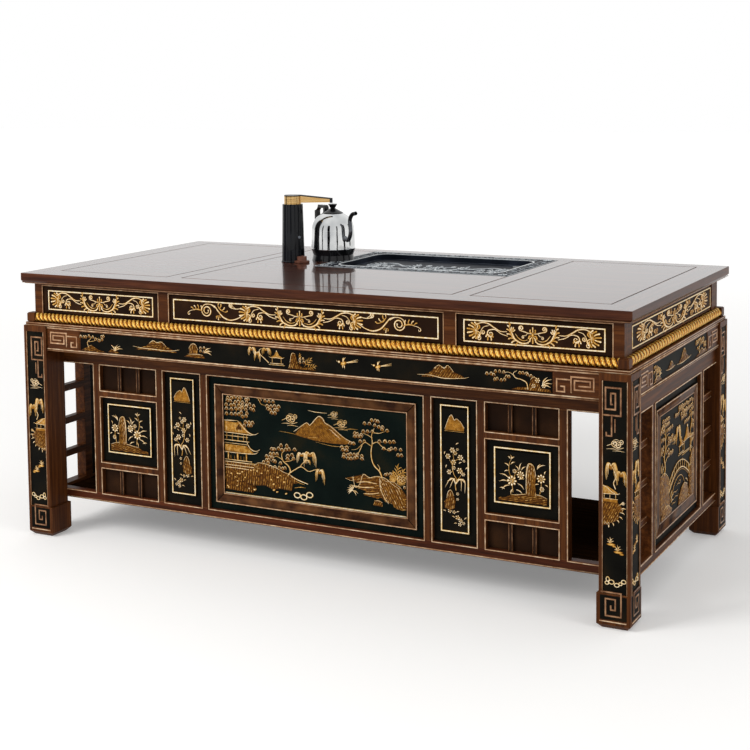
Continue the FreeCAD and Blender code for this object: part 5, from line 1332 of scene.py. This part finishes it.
for name, sign in (("left", -1), ("right", 1)):
    ground_plate("waist_end_ground_" + name, (sign * WAIST_END, 0, 0), name, (-364, 650), (364, 714),
                 brown_lacquer)
    field = Relief((sign * WAIST_END, 0, WAIST_MIDDLE), name)
    frieze(field.at(0, 0, stretch=(FRIEZE_STRETCH, 1)))
    field.frame((-356, -WAIST_HALF), (356, WAIST_HALF), WAIST_LINE, 1.8, 0.98)
    field.make("waist_end_frieze_" + name, gilt)
for name in ("front", "rear"):
    edging = Relief(middle_of(name, WAIST_END, WAIST_FACE), name)
    for low_x, high_x in WINDOWS:
        edging.frame((low_x, WINDOW_LOW), (high_x, WINDOW_HIGH), 2.6, 1.3, 0.85)
    edging.band([(-871, 727.5), (871, 727.5)], 2.6, 1.4, 0.7)
    edging.make("waist_edging_" + name, **LINING)
ground_plate("waist_rear_ground", (0, WAIST_FRONT, 0), "rear", (-408, 644), (408, 721), brown_lacquer)
framed_scrolls("waist_scrolls_rear", (0, WAIST_FRONT, WAIST_MIDDLE), "rear", 395, long_scrollwork)


# End screens: carved lacquer panels in brown mitred frames, each between two open bays with rungs.
# The picture is an arched bridge between rocks, with a pine, a pavilion and dense foliage.
END_PICTURE_X, END_SCREEN_X, RUNG_X, RUNG_HALF = 880, 884, 872, 7.4


def bridge_scene(r):
    """The end panel's picture."""
    rock(r, [(-155, 196), (-76, 198), (-66, 216), (-78, 236), (-70, 254), (-84, 276), (-104, 292),
             (-128, 300), (-155, 296)], 66, 91, 5.0, 1.9, 0.7)
    rock(r, [(96, 180), (155, 180), (155, 304), (134, 300), (116, 286), (122, 262), (104, 244), (110, 214)],
         -58, 92, 5.0, 1.9, 0.7)
    rock(r, [(-152, 182), (-58, 182), (-50, 192), (-74, 204), (-104, 210), (-134, 204)], 18, 93, 4.6, 2.3,
         0.74)
    rock(r, [(6, 182), (92, 182), (104, 202), (90, 222), (62, 230), (34, 222), (14, 204)], 30, 94, 4.6, 2.1,
         0.72)
    deck = [(-84, 238), (-44, 264), (0, 279), (48, 277), (96, 256), (110, 246)]
    rail = [(-82, 260), (-42, 285), (0, 299), (50, 296), (100, 274), (112, 264)]
    r.stroke(deck, 4.6, 2.6, 1.0)
    r.stroke([(x, y - 6) for x, y in deck], 2.0, 1.8, 0.75)
    r.stroke(rail, 3.2, 2.6, 1.0)
    for step in range(13):
        share = step / 12 * 5
        k = min(4, int(share))
        foot, head = (Vector(line[k]).lerp(Vector(line[k + 1]), share - k) for line in (deck, rail))
        r.stroke([foot, head + Vector((0, 4))], 2.4, 2.2, 0.9)
    r.stroke([(-52, 222), (-34, 246), (2, 260), (40, 256), (66, 232)], (2.0, 3.0, 2.0), 2.0, 0.85)
    for x, y, wide in ((-24, 226, 54), (12, 240, 40), (-10, 212, 44), (-34, 200, 34), (22, 246, 26)):
        r.stroke([(x - wide / 2, y - 1), (x - wide * 0.15, y + 2), (x + wide * 0.2, y - 1),
                  (x + wide / 2, y + 1)],
                 (0.8, 2.6, 0.8), 1.6, 0.85)
    r.stroke([(-122, 292), (-114, 314), (-124, 338), (-112, 362), (-116, 386), (-108, 410)], (7.0, 5.0, 2.2),
             2.8, 0.9)
    for points in ([(-116, 322), (-96, 334), (-74, 332)], [(-118, 352), (-96, 364), (-70, 362)],
                   [(-122, 340), (-140, 350)], [(-114, 380), (-96, 392), (-76, 392)],
                   [(-112, 394), (-130, 404)]):
        r.stroke(points, (3.4, 2.6, 1.2), 2.2, 0.9)
    clumps(r, [(-104, 426, 34, 12), (-72, 402, 26, 8), (-134, 412, 18, 10), (-66, 372, 26, 9),
               (-138, 360, 16, 10), (-66, 338, 24, 8), (-92, 350, 14, 6), (-136, 384, 16, 8)], 13, 8, 95)
    pavilion(r, 92, 312, 84, 62)
    pavilion(r, 34, 318, 46, 38)
    r.stroke([(118, 300), (128, 328), (120, 356), (132, 384), (124, 410)], (6.0, 4.4, 2.0), 2.4, 0.85)
    clumps(r, [(96, 430, 54, 14), (58, 412, 30, 9), (132, 404, 22, 14), (30, 436, 22, 9), (86, 392, 26, 8),
               (140, 372, 14, 12), (-8, 424, 18, 8), (142, 336, 12, 12)], 13, 8, 96)
    weeping(r, 4, 392, 44, 52, 97, 9)
    for x, y, turn, long in ((-146, 304, 70, 26), (-138, 302, 46, 24), (124, 300, 110, 22),
                             (96, 226, 150, 26), (94, 220, 176, 24), (-62, 214, 28, 26), (-60, 208, 8, 24),
                             (-64, 222, 50, 22)):
        leaf(r, x, y, long, 5.0, turn, 2.2)
    cloud(r, -28, 366, 42, 0.9)
    for x, y, size in ((-132, 282, 17), (-116, 264, 15), (-140, 246, 16), (132, 280, 16), (138, 250, 17),
                       (46, 208, 15)):
        blossom(r, x, y, size, 6)


for name, sign in (("left", -1), ("right", 1)):
    finish_nodes(lacquer, "end_panel_" + name)
    place = (sign * END_PICTURE_X, 0, 0)
    end_frame = ("end_frame_" + name, place, name, (186, 150, 471), (158, 178, 452))
    mitred_boards(*end_frame)
    board_lines(*end_frame)
    carve("end_landscape_" + name, place, name, bridge_scene)
    edges, rungs = Relief((sign * END_SCREEN_X, 0, 0), name), Relief((sign * RUNG_X, 0, 0), name)
    edges.frame((-210, CELL_LOW), (210, CELL_HIGH), 3.4, 1.8, 0.95, EDGE_OUT)
    for half in edges.halves():
        half.frame((240, CELL_LOW), (369, CELL_HIGH), 3.4, 1.8, 0.95, EDGE_OUT)
    edges.band([(-369, FOOT_LINE), (369, FOOT_LINE)], 3.6, 1.8, 0.9)
    edges.make("end_edges_" + name, **LINING)
    for half in rungs.halves():
        for middle in (212.5, 310, 407.5):
            for level_z in (middle - RUNG_HALF, middle + RUNG_HALF):
                half.band([(242.5, level_z), (366.5, level_z)], 2.2, 1.2, 0.8)
    rungs.make("end_rung_lines_" + name, **LINING)


# Table edge: a fine bright line along the slab's top and along its foot.
# It is where the varnish is rubbed to a pale arris.
rim = Relief((0, 0, 0), "top")
level_lines(rim, (899.9, 449.9), (896, 446), (733.5, 756.5), 1.6, 0.1, 0.7)
rim.make("slab_edge_lines", copper, slot="polished_top")


# Tea tray: one slab of ink-black stone with a carved rim and a shallow basin that drains at the back.
# The saw leaves the stone blue-black and matt; the raised work is ground lighter to a silvery grey.
TRAY_LOW, TRAY_HIGH, RIM_WIDE, RIM_TOP, BASIN_FLOOR = (-200, 0), (409, 396), 50, 760, 745
BASIN_CORNER, LIP, CORNER_STEPS = 38, 4, 8
GRIT_MM, GROUND_MM, STONE_CLOUD_MM = 1.1, 6.25, 62.5


def ink_stone():
    """Honed black stone: blue-black with fine pale grit and a soft low sheen."""
    material, tree, shader, place = start_material("honed_ink_stone")
    cloud_noise = add_node(tree, "TexNoise", {"Vector": place, "Scale": pattern(STONE_CLOUD_MM),
                                              "Detail": 4.0})
    grit = add_node(tree, "TexNoise", {"Vector": place, "Scale": pattern(GRIT_MM), "Detail": 1.0})
    mixed = add_node(tree, "MixRGB", {"Fac": 0.4, "Color1": cloud_noise.outputs["Fac"],
                                      "Color2": grit.outputs["Fac"]})
    ramp = add_node(tree, "ValToRGB", {"Fac": mixed.outputs[0]},
                    stops=[(0.3, "#0c0f15"), (0.55, "#191d26"), (0.75, "#343a46")])
    colour, soft = rubbed_edges(tree, place, ramp.outputs["Color"], "#8d96a0", 0.002, 0.8)
    set_inputs(tree, shader, {"Base Color": colour, "Normal": soft, "Roughness": 0.45,
                              "Specular IOR Level": 0.06})
    return material


def rim_scroll(relief, long, seed):
    """A running cloud scroll along a rim, from its middle both ways, with leaves between the curls."""
    chance = random.Random(seed)
    count = max(2, round(long / 2 / 44))
    pitch = long / 2 / count
    for half in relief.halves():
        for step in range(count):
            x, hand = step * pitch, 1 if step % 2 else -1
            curl(half, [(x + 2, -5 * hand), (x + pitch * 0.3, -9 * hand), (x + pitch * 0.6, -7 * hand),
                        (x + pitch * 0.78, -1 * hand)], 7.5, hand, 3.4, 1.2, 1.2, chance.uniform(0.85, 1.0))
            fan(half, x + pitch * 0.2, 6 * hand, 12, 110 * hand, 10 * hand, 4, 3.6,
                chance.uniform(0.75, 0.95))
            half.mound(oval(x + pitch * 0.98, -10 * hand, 7, 6, sides=8), 1.2, 0.9)


# Carved stone: blue-black in the hollows, deepened there by painted shade, and silvery grey where the
# grinding left it bright, with a painted highlight on the crests.
silvery = relief_finish("silvery_ground_stone", {"Scale": pattern(GROUND_MM), "Detail": 4.0,
                                                 "Roughness": 0.7}, (-0.2, 0.12),
                        [(0.1, "#171b21"), (0.4, "#59616a"), (0.72, "#b6bcbf"), (1.0, "#eef0f0")],
                        {"Roughness": 0.42, "Specular IOR Level": 0.3})
finish_nodes(ink_stone(), "tea_tray")
carving = Relief((0, 0, RIM_TOP), "top")
carving.frame(TRAY_LOW, TRAY_HIGH, 3.0, 0.9, 0.9, out=-5)
inset, reach, lip_line = RIM_WIDE + BASIN_CORNER, BASIN_CORNER + LIP, []
for corner, (end_x, end_y) in enumerate(((1, 1), (0, 1), (0, 0), (1, 0))):
    middle_x = TRAY_HIGH[0] - inset if end_x else TRAY_LOW[0] + inset
    middle_y = TRAY_HIGH[1] - inset if end_y else TRAY_LOW[1] + inset
    for step in range(CORNER_STEPS + 1):
        angle = math.radians(90 * corner + 90 * step / CORNER_STEPS)
        lip_line.append((middle_x + reach * math.cos(angle), middle_y + reach * math.sin(angle)))
carving.band(lip_line, 5.0, 1.4, 1.1, looped=True)
(low_x, low_y), (high_x, high_y) = ((TRAY_LOW[k] + RIM_WIDE / 2 for k in (0, 1)),
                                    (TRAY_HIGH[k] - RIM_WIDE / 2 for k in (0, 1)))
middle_x, middle_y = (low_x + high_x) / 2, (low_y + high_y) / 2
long_x, long_y = high_x - low_x - RIM_WIDE, high_y - low_y - RIM_WIDE
for x, y, turn, long, seed in ((middle_x, low_y, 0, long_x, 201), (middle_x, high_y, 180, long_x, 202),
                               (low_x, middle_y, -90, long_y, 203), (high_x, middle_y, 90, long_y, 204)):
    rim_scroll(carving.at(x, y, turn), long, seed)
for x, y in ((low_x, low_y), (low_x, high_y), (high_x, low_y), (high_x, high_y)):
    blossom(carving, x, y, 30, 8, 0.95)
carving.make("tray_rim_carving", silvery, slot="tray_stone")
carve("tray_arabesque", (middle_x, middle_y, BASIN_FLOOR), "top", short_scrollwork, stretch=(1.3, 2.2),
      material=silvery, slot="tray_stone")


# Tray drain, motor and tube: a brushed steel flange and spigot under the stone, a die-cast pump motor
# inside the column, and a milky silicone tube above it.
HAIR_LONG_MM, MILK_MM = 33.3, 12.5


def brushed_metal(name, tones, roughness, fine_mm=0.9):
    """Brushed metal: bright, with hair-fine lines all round that draw its highlights out."""
    material, tree, shader, place = start_material(name)
    lines = add_node(tree, "Mapping", {"Vector": place,
                                       "Scale": (*[pattern(HAIR_LONG_MM)] * 2, pattern(fine_mm))})
    hair = add_node(tree, "TexNoise", {"Vector": lines.outputs[0], "Scale": 1.0,
                                       "Detail": 3.0}).outputs["Fac"]
    ramp = add_node(tree, "ValToRGB", {"Fac": hair}, stops=list(zip((0.35, 0.65), tones)))
    rough = add_node(tree, "MapRange", {"Value": hair, "To Min": roughness * 0.8, "To Max": roughness * 1.3})
    cut = add_node(tree, "Bump", {"Height": hair, "Strength": 0.12, "Distance": 0.0002})
    set_inputs(tree, shader, {"Base Color": ramp.outputs["Color"], "Metallic": 1.0,
                              "Roughness": rough.outputs[0], "Normal": cut.outputs[0]})
    return material


def silicone_rubber():
    """Milky silicone: soft, pale and slightly see-through, with a dull skin."""
    material, tree, shader, place = start_material("milky_silicone")
    cloud_noise = add_node(tree, "TexNoise", {"Vector": place, "Scale": pattern(MILK_MM)})
    ramp = add_node(tree, "ValToRGB", {"Fac": cloud_noise.outputs["Fac"]},
                    stops=[(0.3, "#c9c9c4"), (0.7, "#e4e4df")])
    set_inputs(tree, shader, {"Base Color": ramp.outputs["Color"], "Roughness": 0.45,
                              "Transmission Weight": 0.3, "IOR": 1.41})
    return material


finish_nodes(brushed_metal("brushed_drain_steel", ("#9b9c9c", "#c4c5c4"), 0.3), "tray_drain")
finish_nodes(brushed_metal("die_cast_zinc", ("#7d7f82", "#9a9c9e"), 0.42), "pump_motor")
finish_nodes(silicone_rubber(), "water_tube")


# Drawers on the host's side: rosewood fronts with a lacquer ground and a copper edge.
# Each carries short scrolls in a gilt frame, and a turned brass pull.
for name, middle in (("left", -645), ("right", 645)):
    body = name + "_drawer"
    ground_plate("drawer_ground_" + name, (middle, WAIST_FACE, WAIST_MIDDLE), "rear", (-192, -31), (192, 31),
                 brown_lacquer, body)
    framed_scrolls("drawer_scrolls_" + name, (middle, WAIST_FACE + 0.2, WAIST_MIDDLE), "rear", 180,
                   short_scrollwork, body)
    edging = Relief((middle, WAIST_FACE, WAIST_MIDDLE), "rear")
    edging.frame((-196.5, -35), (196.5, 35), 2.4, 1.2, 0.85)
    edging.make("drawer_edging_" + name, body=body, **LINING)
    finish_nodes(brushed_metal("aged_brass_" + name, ("#8a6a34", "#b89552"), 0.32, 1.6),
                 "drawer_pull_" + name)


# Water spout: a black enamelled column with a gilt collar, from which a tapering arm swings out.
# A dark cover lies along the arm, and a small key in the column's side starts the pump.
COLUMN_PLACE, STUB_PLACE = (-309, 77, 760), (-271.5, 62.3, 760)
TURNED_SIDES, SHARP_TURN, ENAMEL_RIPPLE_MM = 96, 38, 33.3


def gloss_enamel(name, tones, roughness, coat):
    """Baked enamel: near black, smooth and glossy, with a faint ripple in its reflections."""
    material, tree, shader, place = start_material(name)
    wavy = add_node(tree, "TexNoise", {"Vector": place, "Scale": pattern(ENAMEL_RIPPLE_MM),
                                       "Detail": 2.0}).outputs["Fac"]
    ramp = add_node(tree, "ValToRGB", {"Fac": wavy}, stops=list(zip((0.3, 0.7), tones)))
    ripple = add_node(tree, "Bump", {"Height": wavy, "Strength": 0.05, "Distance": 0.001})
    set_inputs(tree, shader, {
        "Base Color": ramp.outputs["Color"], "Roughness": roughness, "Specular IOR Level": 0.12,
        "Coat Weight": coat, "Coat Roughness": 0.05, "Coat Normal": ripple.outputs[0]})
    return material


def turned_piece(name, place, outlines, material, body, slot, looped=True):
    """One piece turned about an upright axis, from outlines of (radius, height) that run up its outside."""
    corners, faces = [], []
    for outline in outlines:
        faces += joined(len(corners), len(outline), TURNED_SIDES, looped)
        for radius, height in outline:
            for k in range(TURNED_SIDES):
                angle = math.tau * k / TURNED_SIDES
                corners.append(((place[0] + radius * math.cos(angle)) * MM,
                                (place[1] + radius * math.sin(angle)) * MM, (place[2] + height) * MM))
    made = add_piece(name, corners, faces, material, body, slot)
    made.data.set_sharp_from_angle(angle=math.radians(SHARP_TURN))
    return made


enamel = gloss_enamel("black_baked_enamel", ("#07090d", "#0d1016"), 0.22, 0.28)
finish_nodes(enamel, "spout_column")
finish_nodes(brushed_metal("brushed_champagne_gold", ("#b58a4a", "#e3bf86"), 0.26), "spout_arm")
finish_nodes(gloss_enamel("black_cover_plastic", ("#0c0c0e", "#17171a"), 0.24, 0.4), "spout_cover")
finish_nodes(gloss_enamel("grey_key_plastic", ("#6a7078", "#8a9098"), 0.3, 0.3), "spout_key")
turned_piece("column_foot_ring", COLUMN_PLACE,
             [[(33.0, 0.05), (35.4, 0.05), (35.8, 1.2), (35.4, 3.4), (34.4, 4.2), (33.0, 4.2)]], enamel,
             "table", "black_plastic")
turned_piece("collar_rings", COLUMN_PLACE,
             [[(24.4, z), (25.3, z + 0.2), (25.3, z + 1.1), (24.4, z + 1.3)]
              for z in (172.9, 177.6, 190.2, 193.6)],
             brushed_metal("turned_gold_rings", ("#c39a56", "#efd196"), 0.2), "arm", "champagne_metal")
fitting = turned_piece("hose_fitting", STUB_PLACE,
                       [[(21.5, 0.1), (22.6, 1.0), (22.6, 5.2), (21.0, 6.4), (15.0, 6.8), (14.4, 8.0),
                         (14.4, 17.4), (13.2, 19.0), (8.0, 19.4), (7.4, 18.2), (0.2, 18.0)]],
                       gloss_enamel("red_brown_fitting", ("#4a2c22", "#744a3a"), 0.4, 0.2), "table",
                       "silicone", looped=False)
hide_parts("hose_stub")


# Kettle: a polished steel dome on a black ring, which lifts off its black stand.
# Dark cards that only reflections see stand in for the room, and draw the steel's upright streaks.
KETTLE_PLACE, SPUN_MM, CARD_FOOT = (-221, 164, 760), 38.5, 700
KETTLE_CARDS = ((-92, 1500, 640, 900), (-22, 2400, 560, 1500), (22, 2600, 300, 1500), (62, 1900, 300, 1300),
                (100, 1950, 340, 1000), (-56, 2300, 220, 1300))


def polished_steel(name, tones, roughness):
    """Polished steel: mirror-bright, faintly clouded, and wavy where the sheet was spun."""
    material, tree, shader, place = start_material(name)
    spun = add_node(tree, "TexNoise", {"Vector": place, "Scale": pattern(SPUN_MM),
                                       "Detail": 1.0}).outputs["Fac"]
    ramp = add_node(tree, "ValToRGB", {"Fac": spun}, stops=list(zip((0.3, 0.7), tones)))
    wave = add_node(tree, "Bump", {"Height": spun, "Strength": 0.25, "Distance": 0.003})
    set_inputs(tree, shader, {"Base Color": ramp.outputs["Color"], "Metallic": 1.0, "Roughness": roughness,
                              "Normal": wave.outputs[0]})
    return material


def black_card():
    """Matt black card: it gives back no light at all."""
    material, tree, shader, _ = start_material("matt_black_card")
    set_inputs(tree, shader, {"Base Color": linear("#050506"), "Roughness": 1.0, "Specular IOR Level": 0.0})
    return material


finish_nodes(polished_steel("polished_kettle_steel", ("#b9bbbc", "#dcdddc"), 0.07), "kettle_body")
finish_nodes(polished_steel("dark_pipe_steel", ("#4c4e52", "#6f7276"), 0.16), "kettle_pipe")
finish_nodes(gloss_enamel("black_kettle_plastic", ("#0b0b0c", "#151517"), 0.2, 0.35),
             "kettle_lid", "kettle_handle", "kettle_ring", "kettle_stand")
turned_piece("kettle_seam", KETTLE_PLACE, [[(65.4, 34.6), (67.0, 34.8), (67.4, 36.0), (67.0, 37.4),
                                            (65.4, 37.8)]],
             polished_steel("rolled_steel_seam", ("#c6c8c9", "#e2e3e3"), 0.1), "kettle", "polished_steel")
card_black = black_card()
for number, (bearing, away, wide, tall) in enumerate(KETTLE_CARDS):
    toward = Matrix.Rotation(math.radians(bearing), 3, "Z") @ Vector((math.sin(yaw), -math.cos(yaw), 0))
    aside, upward = Vector((-toward.y, toward.x, 0)) * wide / 2, Vector((0, 0, tall))
    foot = Vector((*KETTLE_PLACE[:2], CARD_FOOT)) + toward * away
    card = add_mesh("reflection_card_%d" % number,
                    [corner * MM for corner in (foot - aside, foot + aside, foot + aside + upward,
                                                foot - aside + upward)], [(0, 1, 2, 3)], card_black)
    card.visible_camera = card.visible_diffuse = card.visible_transmission = card.visible_shadow = False
